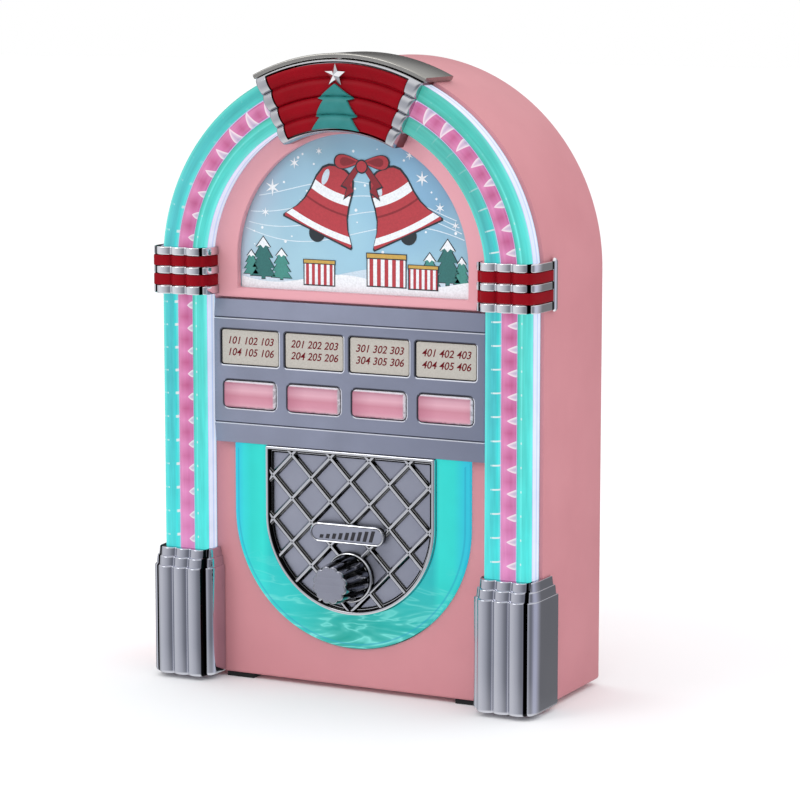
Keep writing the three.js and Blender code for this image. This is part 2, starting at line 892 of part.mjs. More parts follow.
function treeZone() {
  const zone = [
    [inlayInner + gap, cabinetFront],
    [inlayInner + gap, knobFace],
    [inlayOuter, knobFace],
    [inlayOuter, cabinetFront],
  ];
  return sweepRound(zone, crownStations(inlayHalfAngle));
}

// A star whose ridges rise to one point in front
function makeStar() {
  const back = crownValley - crownRise - gap;
  const rim = Array.from({ length: 2 * starPoints }, (_, k) => {
    const reach = k % 2 === 0 ? starRadius : starRadius * starWaistShare;
    const turn = Math.PI / 2 + Math.PI * k / starPoints;
    return [reach * Math.cos(turn), starHeight + reach * Math.sin(turn)];
  });
  const positions = [0, back - starThick, starHeight, 0, back, starHeight];
  rim.forEach(([x, z]) => positions.push(x, back, z));
  const index = rim.flatMap((_, k) => {
    const [here, next] = [2 + k, 2 + (k + 1) % rim.length];
    return [0, here, next, 1, next, here];
  });
  return faceOutwards(indexedGeometry(positions, index));
}

function makePlate() {
  const front = crownValley - plateOverhang;
  const back = cabinetFront + plateBackReach;
  const section = [
    [cabinetClear, back],
    [cabinetClear, front],
    [cabinetClear + plateThick, front],
    [cabinetClear + plateThick, back],
  ];
  return sweepRound(section, crownStations(plateHalfAngle));
}

addPart('crown_frame', makeCrownFrame(), 'chrome');
addPart('crown_inlay', makeInlay(), 'redPaint');
addPart('crown_tree', makeTree(), 'greenPaint');
addPart('crown_star', makeStar(), 'chrome');
addPart('crown_plate', makePlate(), 'greyChrome');

// Selector panel, its cards and buttons, and the board with one switch behind each button
const slotCentres = Array.from({ length: slotCount }, (_, k) => slotPitch * k - buttonHalfRow);

function makeSelector() {
  const back = cabinetFront - gap;
  const profile = [
    [back, selectorBottom],
    [selectorEdgeFront, selectorBottom],
    [selectorFront, lowerStripTop],
    [selectorFront, upperStripBottom],
    [selectorEdgeFront, selectorTop],
    [back, selectorTop],
  ];
  const half = Math.PI / 2;
  const bar = new THREE.ExtrudeGeometry(shapeFrom(profile), {
    depth: 2 * selectorHalf,
    bevelEnabled: false,
  });
  bar.translate(0, 0, -selectorHalf).rotateX(half).rotateZ(half);
  const pockets = slotCentres.map((x) => slab(
    roundedShape(x, cardHeight, cardWide + 2 * gap, cardHigh + 2 * gap, cardCorner + gap),
    selectorFront + cardPocket,
    selectorFront - overrun,
    cornerSteps,
  ));
  const openings = slotCentres.map((x) => slab(
    roundedShape(x, buttonHeight, buttonWide + 2 * gap, buttonHigh + 2 * gap, buttonCorner + gap),
    back + overrun,
    selectorFront - overrun,
    cornerSteps,
  ));
  return cut(bar, ...pockets, ...openings);
}

function makeCard(x) {
  const back = selectorFront + cardPocket - gap;
  const outline = roundedShape(x, cardHeight, cardWide, cardHigh, cardCorner);
  return slab(outline, back, back - cardThick, cornerSteps);
}

function makeButton(x) {
  const cap = roundedShape(x, buttonHeight, buttonWide, buttonHigh, buttonCorner);
  const wide = buttonWide + 2 * buttonFlange;
  const high = buttonHigh + 2 * buttonFlange;
  const flange = roundedShape(x, buttonHeight, wide, high, buttonCorner);
  return join(
    slab(cap, cabinetFront + buttonFlangeThick / 2, buttonFront, cornerSteps),
    slab(flange, cabinetFront + buttonFlangeThick, cabinetFront, cornerSteps),
  );
}

function makeButtonBoard() {
  const back = buttonBoardFront + boardThick;
  const board = block(
    [-buttonBoardHalf, buttonBoardHalf],
    [buttonBoardFront, back],
    [buttonHeight - buttonBoardHigh / 2, buttonHeight + buttonBoardHigh / 2],
  );
  const switchFront = cabinetFront + buttonFlangeThick + buttonTravel + gap;
  const switches = slotCentres.map((x) => block(
    [x - switchSize / 2, x + switchSize / 2],
    [switchFront, buttonBoardFront + boardThick / 2],
    [buttonHeight - switchSize / 2, buttonHeight + switchSize / 2],
  ));
  return join(board, ...switches);
}

addPart('selector_panel', makeSelector(), 'satinMetal');
slotCentres.forEach((x, k) => addPart(`label_card_${k + 1}`, makeCard(x), 'creamCard'));
slotCentres.forEach((x, k) => addPart(`button_${k + 1}`, makeButton(x), 'pinkPlastic'));
addPart('button_board', makeButtonBoard(), 'circuitBoard');

// Light band, its board, grille plate and lattice
const bushingRadius = shaftRadius + gap + bushingWall;

function bushingHole() {
  return pin(bushingRadius + gap, 0, knobHeight, coverFront, knobFace, roundSteps);
}

function makeLightBand() {
  const outer = shieldShape(lightHalf, grilleTop, lightCentre);
  const inner = shieldShape(grilleHalf + gap, grilleTop + overrun, grilleCentre);
  return cut(slab(outer, panelBack, lightFront), slab(inner, panelBack + overrun, lightFront - overrun));
}

function makeLightBoard() {
  const outline = shieldShape(lightHalf + lightBoardLap, selectorBottom + lightBoardLap, lightCentre);
  return cut(slab(outline, behindPanel + lightBoardThick, behindPanel), bushingHole());
}

function makeGrillePlate() {
  const outline = shieldShape(grilleHalf, grilleTop, grilleCentre);
  return cut(slab(outline, panelBack, grilleFront), bushingHole());
}

function latticeBars() {
  const bars = [];
  const reach = grilleTop - grilleCentre + grilleHalf;
  const length = 2 * (reach + grilleHalf);
  const slope = Math.atan2(latticeUp, latticeAcross);
  const count = Math.ceil(reach / latticeUp) + 1;
  for (let k = -count; k <= count; k += 1) {
    for (const lean of [slope, -slope]) {
      const bar = new THREE.BoxGeometry(length, barThick, barWide);
      bar.rotateY(lean).translate(0, latticeBack - barThick / 2, latticeHeight + k * latticeUp);
      bars.push(bar);
    }
  }
  return bars;
}

// The ring round the knob's foot is one piece with the lattice
function makeCollar() {
  const bore = bushingRadius + gap;
  return turned([
    [bore, latticeBack],
    [collarRadius, latticeBack],
    [collarRadius, collarFront],
    [bore, collarFront],
    [bore, latticeBack],
  ], 0, knobHeight);
}

function makeLattice() {
  const outer = slab(shieldShape(grilleHalf, grilleTop, grilleCentre), latticeBack, latticeBack - rimThick);
  const inside = shieldShape(grilleHalf - rimWide, grilleTop - rimWide, grilleCentre);
  const rim = cut(outer, slab(inside, latticeBack + overrun, latticeBack - overrun));
  const field = shieldShape(grilleHalf - rimWide / 2, grilleTop - rimWide / 2, grilleCentre);
  const bars = common(join(...latticeBars()), slab(field, latticeBack + overrun, latticeBack - overrun));
  const seat = pin(collarRadius - gap, 0, knobHeight, latticeBack + overrun, knobFace, roundSteps);
  return join(cut(join(rim, bars), seat), makeCollar());
}

function makeBadge() {
  const back = latticeBack - barThick - gap;
  const outline = roundedShape(0, badgeHeight, 2 * badgeHalf, 2 * badgeRadius, badgeRadius - gap);
  return slab(outline, back, back - badgeThick, ribSteps);
}

addPart('light_band', makeLightBand(), 'tealPlastic');
addPart('light_band_board', makeLightBoard(), 'circuitBoard');
addPart('grille_plate', makeGrillePlate(), 'satinMetal');
addPart('grille_lattice', makeLattice(), 'chrome');
addPart('volume_badge', makeBadge(), 'satinMetal');

// Volume control: potentiometer with its bushing, and the shaft with the lobed knob
function lobedRing(radius, y) {
  const count = knobLobes * lobeSteps;
  return Array.from({ length: count }, (_, k) => {
    const turn = 2 * Math.PI * k / count;
    const dip = lobeDeep * (1 - Math.abs(Math.sin(knobLobes * turn / 2)));
    const reach = radius - dip;
    return [reach * Math.cos(turn), y, knobHeight + reach * Math.sin(turn)];
  });
}

function makeKnob() {
  const outline = lobedRing(knobFrontRadius, knobFace).map(([x, , z]) => [x, z]);
  const body = loft(outline, [
    lobedRing(knobBackRadius, knobBack),
    lobedRing(knobFrontRadius, knobFace + knobFaceThick),
    lobedRing(knobFrontRadius, knobFace),
  ]);
  const shaftFront = knobFace + knobFaceThick;
  const bore = pin(shaftRadius + gap, 0, knobHeight, knobBack + overrun, shaftFront, roundSteps);
  return cut(body, bore);
}

function makeShaft() {
  const front = knobFace + knobFaceThick + gap;
  return pin(shaftRadius, 0, knobHeight, shaftBack, front, roundSteps);
}

function makePotentiometer() {
  const bore = shaftRadius + gap;
  return turned([
    [bore, collarFront],
    [bushingRadius, collarFront],
    [bushingRadius, potFront],
    [potRadius, potFront],
    [potRadius, potBack],
    [bore, potBack],
    [bore, collarFront],
  ], 0, knobHeight);
}

addPart('volume_knob', makeKnob(), 'chrome');
addPart('knob_shaft', makeShaft(), 'steel');
addPart('potentiometer', makePotentiometer(), 'steel');

// Rear cover: vents over the speaker, openings for the battery door and the power switch, screw holes,
// and stands for the main board
const trayHigh = cellCount * cellPitch;
const doorHalf = trayHalf - doorMargin;
const doorHigh = trayHigh - 2 * doorMargin;

function boardStands() {
  const [x, z] = mainBoardCentre;
  const [wide, high] = mainBoardSize;
  const reach = 2 * postRadius;
  return [-1, 1].flatMap((side) => [-1, 1].map((end) => pin(
    postRadius,
    x + side * (wide / 2 - reach),
    z + end * (high / 2 - reach),
    coverFront + coverThick / 2,
    coverFront - mainBoardStand,
  )));
}

function makeVents() {
  return Array.from({ length: ventCount }, (_, k) => {
    const x = ventPitch * (k - (ventCount - 1) / 2);
    const reach = Math.sqrt(coneRadius ** 2 - x ** 2);
    return block(
      [x - ventWide / 2, x + ventWide / 2],
      [coverFront - overrun, coverBack + overrun],
      [speakerHeight - reach, speakerHeight + reach],
    );
  });
}

const sliderStart = powerAcross - (sliderSize + sliderTravel) / 2;

function makeCover() {
  const sheet = slab(archShape(insideHalf - gap, cabinetBottom + cabinetWall + gap), coverBack, coverFront);
  const through = [coverFront - overrun, coverBack + overrun];
  const door = block([-doorHalf, doorHalf], through, [bayHeight - doorHigh / 2, bayHeight + doorHigh / 2]);
  const power = block(
    [sliderStart - gap, sliderStart + sliderSize + sliderTravel + gap],
    through,
    [powerHeight - sliderSize / 2 - gap, powerHeight + sliderSize / 2 + gap],
  );
  const holes = bossPlaces().map(([x, z]) => (
    pin(screwRadius + gap, x, z, coverBack + overrun, coverFront - overrun)
  ));
  return join(cut(sheet, door, power, ...makeVents(), ...holes), ...boardStands());
}

function makeScrew([x, z]) {
  const headFront = coverBack + gap;
  return turned([
    [0, headFront - screwLength],
    [screwRadius, headFront - screwLength],
    [screwRadius, headFront],
    [screwHeadRadius, headFront],
    [screwHeadRadius, headFront + screwHead],
    [0, headFront + screwHead],
  ], x, z, pinSteps);
}

addPart('rear_cover', makeCover(), 'pinkPaint');
bossPlaces().forEach((place, k) => addPart(`cover_screw_${k + 1}`, makeScrew(place), 'steel'));

// Speaker behind the vents: the basket with its magnet, and the cone
function makeBasket() {
  const rim = behindCover;
  const floor = rim - speakerDeep;
  return turned([
    [0, floor - magnetThick],
    [magnetRadius, floor - magnetThick],
    [magnetRadius, floor],
    [speakerRadius - speakerRimWide, rim - speakerFlange],
    [speakerRadius, rim - speakerFlange],
    [speakerRadius, rim],
    [speakerRadius - speakerRimWide, rim],
    [magnetRadius - basketWall, floor + basketWall],
    [0, floor + basketWall],
  ], 0, speakerHeight);
}

function makeCone() {
  const rim = behindCover - coneThick;
  const floor = behindCover - speakerDeep + basketWall + coneThick;
  return turned([
    [0, floor],
    [coilRadius, floor],
    [coneRadius, rim],
    [coneRadius - coneThick, rim],
    [coilRadius, floor + coneThick],
    [0, floor + coneThick],
  ], 0, speakerHeight);
}

addPart('speaker_basket', makeBasket(), 'blackPlastic');
addPart('speaker_cone', makeCone(), 'paperCone');

// Main board on the cover's stands, with its chips on the front
function makeMainBoard() {
  const [x, z] = mainBoardCentre;
  const [wide, high] = mainBoardSize;
  const back = coverFront - mainBoardStand - gap;
  const front = back - boardThick;
  const board = block([x - wide / 2, x + wide / 2], [front, back], [z - high / 2, z + high / 2]);
  const half = wide * chipWideShare / 2;
  const chips = Array.from({ length: chipCount }, (_, k) => {
    const middle = x + wide * ((k + 1 / 2) / chipCount - 1 / 2);
    return block([middle - half, middle + half], [front - chipThick, back], [z - half, z + half]);
  });
  return join(board, ...chips);
}

addPart('main_board', makeMainBoard(), 'circuitBoard');

// Battery bay: tray, three cells lying across, a contact plate at each end and the door
const trayBack = behindCover;
const trayFront = trayBack - 2 * cellRadius - 2 * gap - contactMargin - trayWall;
const cellAxis = trayFront + trayWall + gap + cellRadius;

function makeTray() {
  const outer = [-trayHalf - trayWall, trayHalf + trayWall];
  const low = bayHeight - trayHigh / 2;
  const high = bayHeight + trayHigh / 2;
  const whole = block(outer, [trayFront, trayBack], [low - trayWall, high + trayWall]);
  const room = block([-trayHalf, trayHalf], [trayFront + trayWall, trayBack + overrun], [low, high]);
  return cut(whole, room);
}

function makeCell(k) {
  const side = k % 2 === 0 ? 1 : -1;
  const profile = [
    [0, -cellLength / 2],
    [cellRadius, -cellLength / 2],
    [cellRadius, cellLength / 2],
    [cellNubRadius, cellLength / 2],
    [cellNubRadius, cellLength / 2 + cellNub],
    [0, cellLength / 2 + cellNub],
  ].map(([radius, along]) => new THREE.Vector2(radius, along));
  const cell = weld(new THREE.LatheGeometry(profile, pinSteps));
  cell.rotateZ(-side * Math.PI / 2).translate(0, cellAxis, bayHeight + cellPitch * (k - 1));
  return faceOutwards(cell);
}

function makeContacts(side) {
  const plateOuter = trayHalf - gap;
  const plateInner = plateOuter - contactThick;
  const nubEnd = cellLength / 2 + cellNub + gap;
  const low = bayHeight - trayHigh / 2 + contactMargin;
  const high = bayHeight + trayHigh / 2 - contactMargin;
  const depth = [cellAxis - cellRadius + contactMargin, cellAxis + cellRadius - contactMargin];
  const plate = block([plateInner, plateOuter], depth, [low, high]);
  const bumps = Array.from({ length: cellCount }, (_, k) => {
    const bump = new THREE.CylinderGeometry(cellNubRadius, cellNubRadius, plateOuter - nubEnd, pinSteps);
    bump.rotateZ(Math.PI / 2);
    return bump.translate((plateOuter + nubEnd) / 2, cellAxis, bayHeight + cellPitch * (k - 1));
  });
  const right = join(plate, ...bumps);
  return side > 0 ? right : mirrored(right);
}

function makeDoor() {
  return block(
    [-doorHalf + gap, doorHalf - gap],
    [coverFront, coverBack],
    [bayHeight - doorHigh / 2 + gap, bayHeight + doorHigh / 2 - gap],
  );
}

addPart('battery_tray', makeTray(), 'blackPlastic');
for (let k = 0; k < cellCount; k += 1) {
  addPart(`battery_cell_${k + 1}`, makeCell(k), 'cellWrap');
}
addPart('battery_contacts_left', makeContacts(-1), 'steel');
addPart('battery_contacts_right', makeContacts(1), 'steel');
addPart('battery_door', makeDoor(), 'pinkPaint');

// Power switch: a body behind the cover and a slider that moves along X
function makePowerBody() {
  const [wide, high, deep] = powerBody;
  const body = block(
    [powerAcross - wide / 2, powerAcross + wide / 2],
    [behindCover - deep, behindCover],
    [powerHeight - high / 2, powerHeight + high / 2],
  );
  const room = block(
    [sliderStart - 2 * gap, sliderStart + sliderSize + sliderTravel + 2 * gap],
    [behindCover - powerPocketDeep, behindCover + overrun],
    [powerHeight - sliderSize / 2 - gap, powerHeight + sliderSize / 2 + gap],
  );
  return cut(body, room);
}

function makeSlider() {
  return block(
    [sliderStart, sliderStart + sliderSize],
    [behindCover - powerPocketDeep + gap, coverBack + sliderProud],
    [powerHeight - sliderSize / 2, powerHeight + sliderSize / 2],
  );
}

addPart('power_switch_body', makePowerBody(), 'blackPlastic');
addPart('power_switch_slider', makeSlider(), 'blackPlastic');

// Feet under the cabinet's corners
for (const [side, sign] of [['left', -1], ['right', 1]]) {
  const across = [sign * footAcross - footWide / 2, sign * footAcross + footWide / 2];
  const height = [0, cabinetBottom - gap];
  addPart(`foot_front_${side}`, block(across, [footFront, footFront + footDeep], height), 'rubber');
  addPart(`foot_rear_${side}`, block(across, [footRear - footDeep, footRear], height), 'rubber');
}

export default jukebox;
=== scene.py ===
# Looks of a table-top jukebox with a lit arch. Shapes are worked out in millimetres in the frame of
# the solids: x across, y from the front to the back, z up from the floor.
import math
import bmesh
import bpy
import numpy as np
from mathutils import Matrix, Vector
from mathutils.geometry import tessellate_polygon


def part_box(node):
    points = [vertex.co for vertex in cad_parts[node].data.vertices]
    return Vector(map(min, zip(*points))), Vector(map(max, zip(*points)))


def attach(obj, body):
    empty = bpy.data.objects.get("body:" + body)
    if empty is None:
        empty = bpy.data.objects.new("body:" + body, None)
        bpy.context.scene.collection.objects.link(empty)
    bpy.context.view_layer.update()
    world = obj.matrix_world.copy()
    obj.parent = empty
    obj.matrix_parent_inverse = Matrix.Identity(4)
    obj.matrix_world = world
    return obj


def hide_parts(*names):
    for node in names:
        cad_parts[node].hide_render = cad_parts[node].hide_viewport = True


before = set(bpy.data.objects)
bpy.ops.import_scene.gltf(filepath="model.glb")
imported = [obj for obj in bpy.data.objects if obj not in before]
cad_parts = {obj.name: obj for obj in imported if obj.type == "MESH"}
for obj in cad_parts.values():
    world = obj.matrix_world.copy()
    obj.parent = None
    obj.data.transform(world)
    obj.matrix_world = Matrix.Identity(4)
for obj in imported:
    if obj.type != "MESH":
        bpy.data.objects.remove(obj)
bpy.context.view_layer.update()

MM = 0.001


def solid_box(node):
    """Lowest and highest corner of a solid, in millimetres."""
    low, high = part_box(node)
    return np.array(low) / MM, np.array(high) / MM


# Sizes, in millimetres, read from the solids where one of them ends there
gap = 0.3
cabinet_wall, face_thick = 2.4, 2.1
arch_wide, arch_proud, rib_rise = 18.1, 6.1, 1.9
band_wide, band_drop = 13.3, 0.9
shell_low, shell_high = solid_box("cabinet_shell")
cabinet_half, cabinet_back = shell_high[0], shell_high[1]
cabinet_front, cabinet_bottom = shell_low[1], shell_low[2]
spring = shell_high[2] - cabinet_half
panel_back = cabinet_front + face_thick
flange_back = panel_back + gap
channel_low, channel_high = solid_box("light_channel")
tube_outer, leg_bottom = channel_high[0], channel_low[2]
channel_back = channel_high[1]
tube_inner = tube_outer - arch_wide
rib_pitch = (tube_outer - tube_inner) / 3
rib_valley = cabinet_front - arch_proud
pocket_front = rib_valley - rib_rise - gap
selector_low, selector_high = solid_box("selector_panel")
selector_half = selector_high[0]
selector_bottom, selector_top = selector_low[2], selector_high[2]
selector_front, selector_back = selector_low[1], selector_high[1]
light_low, light_high = solid_box("light_band")
light_half, light_front = light_high[0], light_low[1]
light_centre, grille_top = light_low[2] + light_half, light_high[2]
grille_half = light_half - band_wide
grille_centre = light_centre - band_drop
lattice_low, lattice_high = solid_box("grille_lattice")
lattice_back, rim_front = lattice_high[1], lattice_low[1]


# Colours and materials

def linear(colour):
    """A linear colour with full alpha from an sRGB hex colour."""
    share = np.array([int(colour[k:k + 2], 16) for k in (1, 3, 5)]) / 255
    flat = np.where(share <= 0.04045, share / 12.92, ((share + 0.055) / 1.055) ** 2.4)
    return (*flat.tolist(), 1.0)


def add(tree, kind, *inputs, out=None, stops=(), **options):
    """Adds one node and gives its output. Options are its own settings. The inputs fill its active
    sockets in order, each a number, a hex colour or another node's output, and None leaves one alone.
    Stops are a ramp's (place, hex colour) pairs."""
    node = tree.nodes.new("ShaderNode" + kind)
    for option, value in options.items():
        setattr(node, option, value)
    for socket, value in zip([s for s in node.inputs if s.enabled], inputs):
        if isinstance(value, bpy.types.NodeSocket):
            tree.links.new(value, socket)
        elif value is not None:
            socket.default_value = linear(value) if isinstance(value, str) else value
    for k, (place, colour) in enumerate(stops):
        band = node.color_ramp.elements
        stop = band[k] if k < 2 else band.new(place)
        stop.position, stop.color = place, linear(colour)
    return node.outputs[out] if out else next(s for s in node.outputs if s.enabled)


def start_material(name, **sockets):
    """A material with one Principled shader, its settings given by socket name."""
    material = bpy.data.materials.new(name)
    material.use_nodes = True
    shader = material.node_tree.nodes["Principled BSDF"]
    for key, value in sockets.items():
        shader.inputs[key.replace("_", " ")].default_value = value
    return material, material.node_tree


def wire(tree, **links):
    """Joins outputs to the shader's inputs by name."""
    shader = tree.nodes["Principled BSDF"]
    for key, output in links.items():
        tree.links.new(output, shader.inputs[key.replace("_", " ")])


def patches(tree, size, detail=3.0):
    """Soft noise in patches of so many millimetres."""
    return add(tree, "TexNoise", add(tree, "TexCoord", out="Object"), 1 / (size * MM), detail)


def mottled(tree, light, dark, size):
    """A soft mix of two near colours in patches."""
    return add(tree, "ValToRGB", patches(tree, size), stops=[(0.35, dark), (0.65, light)])


def coat(tree, colour, grain, bump):
    """The colour, with a fine grain that stands so many millimetres proud."""
    wire(tree, Base_Color=colour,
         Normal=add(tree, "Bump", 1.0, bump * MM, None, patches(tree, grain, 2.0)))


def surface(name, light, dark, patch, grain, bump, **sockets):
    """A plain finish: two near colours in patches and a fine bumpy grain, sizes in millimetres."""
    material, tree = start_material(name, **sockets)
    coat(tree, mottled(tree, light, dark, patch), grain, bump)
    return material


def two_coats(name, light, dark, second, patch, grain, bump, **sockets):
    """A finish with another colour where the piece's mark is above zero: painted light and shade on most
    pieces, and the print on the cells.
    """
    material, tree = start_material(name, **sockets)
    marked = add(tree, "Attribute", attribute_name="painted_light_and_print", out="Fac")
    coat(tree, add(tree, "Mix", marked, mottled(tree, light, dark, patch), second, data_type="RGBA"),
         grain, bump)
    return material


def plated(name, light, dark, painted_light_and_print, roughness):
    """ABS, vacuum plated: a mirror that bends lines a little, because the moulding isn't flat. Where the
    piece's mark says so, the colour goes towards the second one: painted shade in slots, gaps and grooves
    and between crests, and on the crown's flanks the red plastic under painted shade."""
    return two_coats(name, light, dark, painted_light_and_print, 25, 14, 0.04, Metallic=1.0, Roughness=roughness)


def silvered(name, light, dark, metallic, roughness, far=None):
    """ABS with silver lacquer: metal flakes in a blurred sheen, with painted shade where the mark is above
    zero and painted highlights on edges where it is below. The far colour is a painted shade that deepens
    towards the right end of a wide piece."""
    material, tree = start_material(name, Metallic=metallic, Roughness=roughness)
    painted_mark = add(tree, "Attribute", attribute_name="painted_light_and_print", out="Fac")
    painted_highlight = add(tree, "MapRange", painted_mark, 0.0, -1.0, 0.0, 1.0)
    tone = mottled(tree, light, dark, 18)
    if far:
        right = add(tree, "SeparateXYZ", add(tree, "TexCoord", out="Object"), out="X")
        tone = add(tree, "Mix", add(tree, "MapRange", right, -10 * MM, 56 * MM, 0.0, 0.9), tone, far,
                   data_type="RGBA")
    tone = add(tree, "Mix", painted_highlight, tone, "#f2f4fb", data_type="RGBA")
    coat(tree, add(tree, "Mix", painted_mark, tone, "#16171c", data_type="RGBA"), 0.5, 0.002)
    return material


# ABS, sprayed with satin pink lacquer: even colour with a slight orange peel under soft gloss, and painted
# light on the frame round the window, which shows a little paler
pink_lacquer = two_coats("abs_satin_pink_lacquer", "#d18b92", "#cc868d", "#e09ea7", 30, 1.2, 0.004,
                         Roughness=0.42, IOR=1.5)
# Bright chrome; copies of it darkened as painted shade, with a lilac grey tinge on the bases and darker
# still on the knob; and the lattice's, a little duller than the bright one
chrome = plated("abs_chrome_plated", "#f3f4f8", "#ebecf0", "#050505", 0.06)
shaded_chrome = plated("abs_chrome_plated_painted_shade", "#cccdd6", "#c5c7d1", "#030303", 0.08)
shaded_knob_chrome = plated("abs_chrome_plated_painted_shade_knob", "#a3a4ad", "#999aa3", "#030303", 0.08)
lattice_chrome = plated("abs_chrome_plated_lattice", "#dcdde2", "#d2d3d8", "#121210", 0.1)
# Plating on the crown's frame, whose flanks behind the ribs show a dark maroon: the red plastic under
# painted shade
crown_chrome = plated("abs_plated_crown_frame", "#cbccd1", "#bcbdc2", "#5d1f24", 0.1)
# Plating of a warmer grey on the crown's plate, a little blurred
grey_plating = surface("abs_grey_plated", "#a9a7a2", "#a09e99", 20, 8, 0.03, Metallic=1.0, Roughness=0.24)
# ABS with satin silver lacquer, grey-blue on the selector and painted darker as shade towards its right end,
# paler on the grille, soft on the knob's disc
satin_silver = silvered("abs_satin_silver_lacquer", "#9398ad", "#8b90a3", 0.55, 0.42, "#7d8296")
grille_silver = silvered("abs_satin_silver_grille", "#a4a7b6", "#9b9eae", 0.7, 0.36)
knob_silver = silvered("abs_satin_silver_disc", "#9a9caa", "#9193a1", 0.6, 0.45)
# ABS with glossy deep red lacquer
red_lacquer = surface("abs_gloss_red_lacquer", "#8e0717", "#830614", 12, 3, 0.006,
                      Roughness=0.36, Specular_IOR_Level=0.07)
# ABS with satin green-blue lacquer on the tree
teal_lacquer = surface("abs_satin_teal_lacquer", "#328382", "#2c7b79", 6, 1, 0.004, Roughness=0.4,
                       Specular_IOR_Level=0.2)
# Paperboard behind the selector's openings, matt, and the dark red ink of its numbers
cream_card = surface("paperboard_cream_printed", "#bcb7af", "#b4afa7", 0.7, 0.3, 0.004, Roughness=0.8,
                     Specular_IOR_Level=0.2)
red_ink = surface("ink_dark_red_printed", "#6f0a17", "#680915", 1, 0.3, 0.001, Roughness=0.6,
                  Specular_IOR_Level=0.2)
# Dark grey ink of the badge's bars, which also stands as painted shade in the screws' crossed recesses
dark_print_and_shade = surface("ink_dark_grey_print_and_painted_shade", "#2b2930", "#25232a", 1, 0.3, 0.001, Roughness=0.5)
# Moulded rubber of the feet and black ABS
rubber = surface("rubber_black_moulded", "#131314", "#0e0e0f", 4, 0.6, 0.02, Roughness=0.85)
black_abs = surface("abs_black_moulded", "#222226", "#1c1c20", 10, 0.5, 0.01, Roughness=0.5)
# Turned and zinc-plated steel
steel = surface("steel_zinc_plated", "#b7b9bd", "#a5a7ab", 3, 0.7, 0.01, Metallic=1.0, Roughness=0.28)
# Pressed paper pulp of the speaker cone
paper_pulp = surface("paper_pulp_pressed", "#2f2f31", "#242426", 2, 0.5, 0.03, Roughness=0.9)
# Glass fibre board with green solder resist
circuit_resin = surface("glass_epoxy_green_board", "#23683f", "#1b5533", 6, 0.8, 0.01, Roughness=0.35)
# Shrink film on the cells, printed silver grey near the plus end
cell_film = two_coats("pvc_shrink_film_printed", "#44689e", "#3b5c8d", "#b4b7be", 8, 2, 0.01,
                      Roughness=0.3, Metallic=0.2)


def glow(tree, colour, light, dark):
    """The pattern as light from inside, over a darker body colour that takes the room's light."""
    wire(tree, Emission_Color=colour, Base_Color=mottled(tree, light, dark, 6))


def drawn(tree, tone, weak, strong):
    """The tone in fine lines along the arch, as extruded acrylic draws its light: noise with cells 1 mm
    across the rib and 20 mm along it sets its brightness."""
    across, along = [
        add(tree, "Math", add(tree, "Attribute", attribute_name=mark, out="Fac"), share,
            operation="MULTIPLY") for mark, share in (("rightward", 6.0), ("along", 0.05))]
    noise = add(tree, "TexNoise", add(tree, "CombineXYZ", across, along), 1.0, 4.0)
    return add(tree, "VectorMath", tone, add(tree, "MapRange", noise, 0.3, 0.7, weak, strong),
               operation="SCALE")


# Acrylic, extruded and lit from behind, clear turquoise: lines of light along it and a brighter rim.
# At every lamp the rib on the left of a leg has a spark, a dash on the right leg and dots on the left
# one, and the other rib a small dot
acrylic_teal, tree = start_material("acrylic_teal_extruded_lit", Roughness=0.1, IOR=1.49,
                                    Emission_Strength=0.75)
rightward, left_rib, left_leg, cell, arch_part = [
    add(tree, "Attribute", attribute_name=mark, out="Fac")
    for mark in ("rightward", "left_rib", "left_leg", "cell", "arch_part")]
left_tone = add(tree, "ValToRGB", rightward, stops=[
    (0, "#2f9c98"), (0.06, "#3fc4bb"), (0.14, "#6cf0e8"), (0.2, "#62dedd"), (0.34, "#4fc6cc"),
    (0.62, "#49b6c3"), (0.8, "#4fc6cf"), (0.92, "#43e2e2"), (1, "#7af2f2")])
right_tone = add(tree, "ValToRGB", rightward, stops=[
    (0, "#45c9b4"), (0.08, "#2aa894"), (0.2, "#44c9b2"), (0.34, "#5fd8cc"), (0.42, "#7df0ea"),
    (0.5, "#58d2c8"), (0.85, "#62e4de"), (1, "#86fbf6")])
tone = add(tree, "Mix", left_rib, right_tone, left_tone, data_type="RGBA")
# Greener towards the crown, more so on the right, paler on the left leg's left rib where it starts to
# bend, greener on the right leg's left rib, and brighter blue-green towards the feet
near_crown = add(tree, "Math", add(tree, "MapRange", arch_part, 0.25, 1.0, 0.0, 0.8),
                 add(tree, "MapRange", left_leg, 0.0, 1.0, 1.0, 0.6), operation="MULTIPLY")
paler = add(tree, "Math", add(tree, "Math", left_leg, left_rib, operation="MULTIPLY"),
            add(tree, "ValToRGB", arch_part, stops=[
                (0, "#000000"), (0.25, "#5a5a5a"), (0.5, "#5a5a5a"), (0.9, "#000000")]),
            operation="MULTIPLY")
greener = add(tree, "Math", add(tree, "Math", left_rib, left_leg, operation="SUBTRACT"),
              add(tree, "MapRange", arch_part, 0.1, 0.5, 0.0, 0.5), operation="MULTIPLY", use_clamp=True)
height = add(tree, "SeparateXYZ", add(tree, "TexCoord", out="Object"), out="Z")
near_foot = add(tree, "MapRange", height, 110 * MM, 60 * MM, 0.0, 0.55)
for share, colour in ((near_crown, "#47a894"), (paler, "#a6f4f8"), (greener, "#5fa893"),
                      (near_foot, "#4ff4f4")):
    tone = add(tree, "Mix", share, tone, colour, data_type="RGBA")
tone = drawn(tree, tone, 0.86, 1.14)
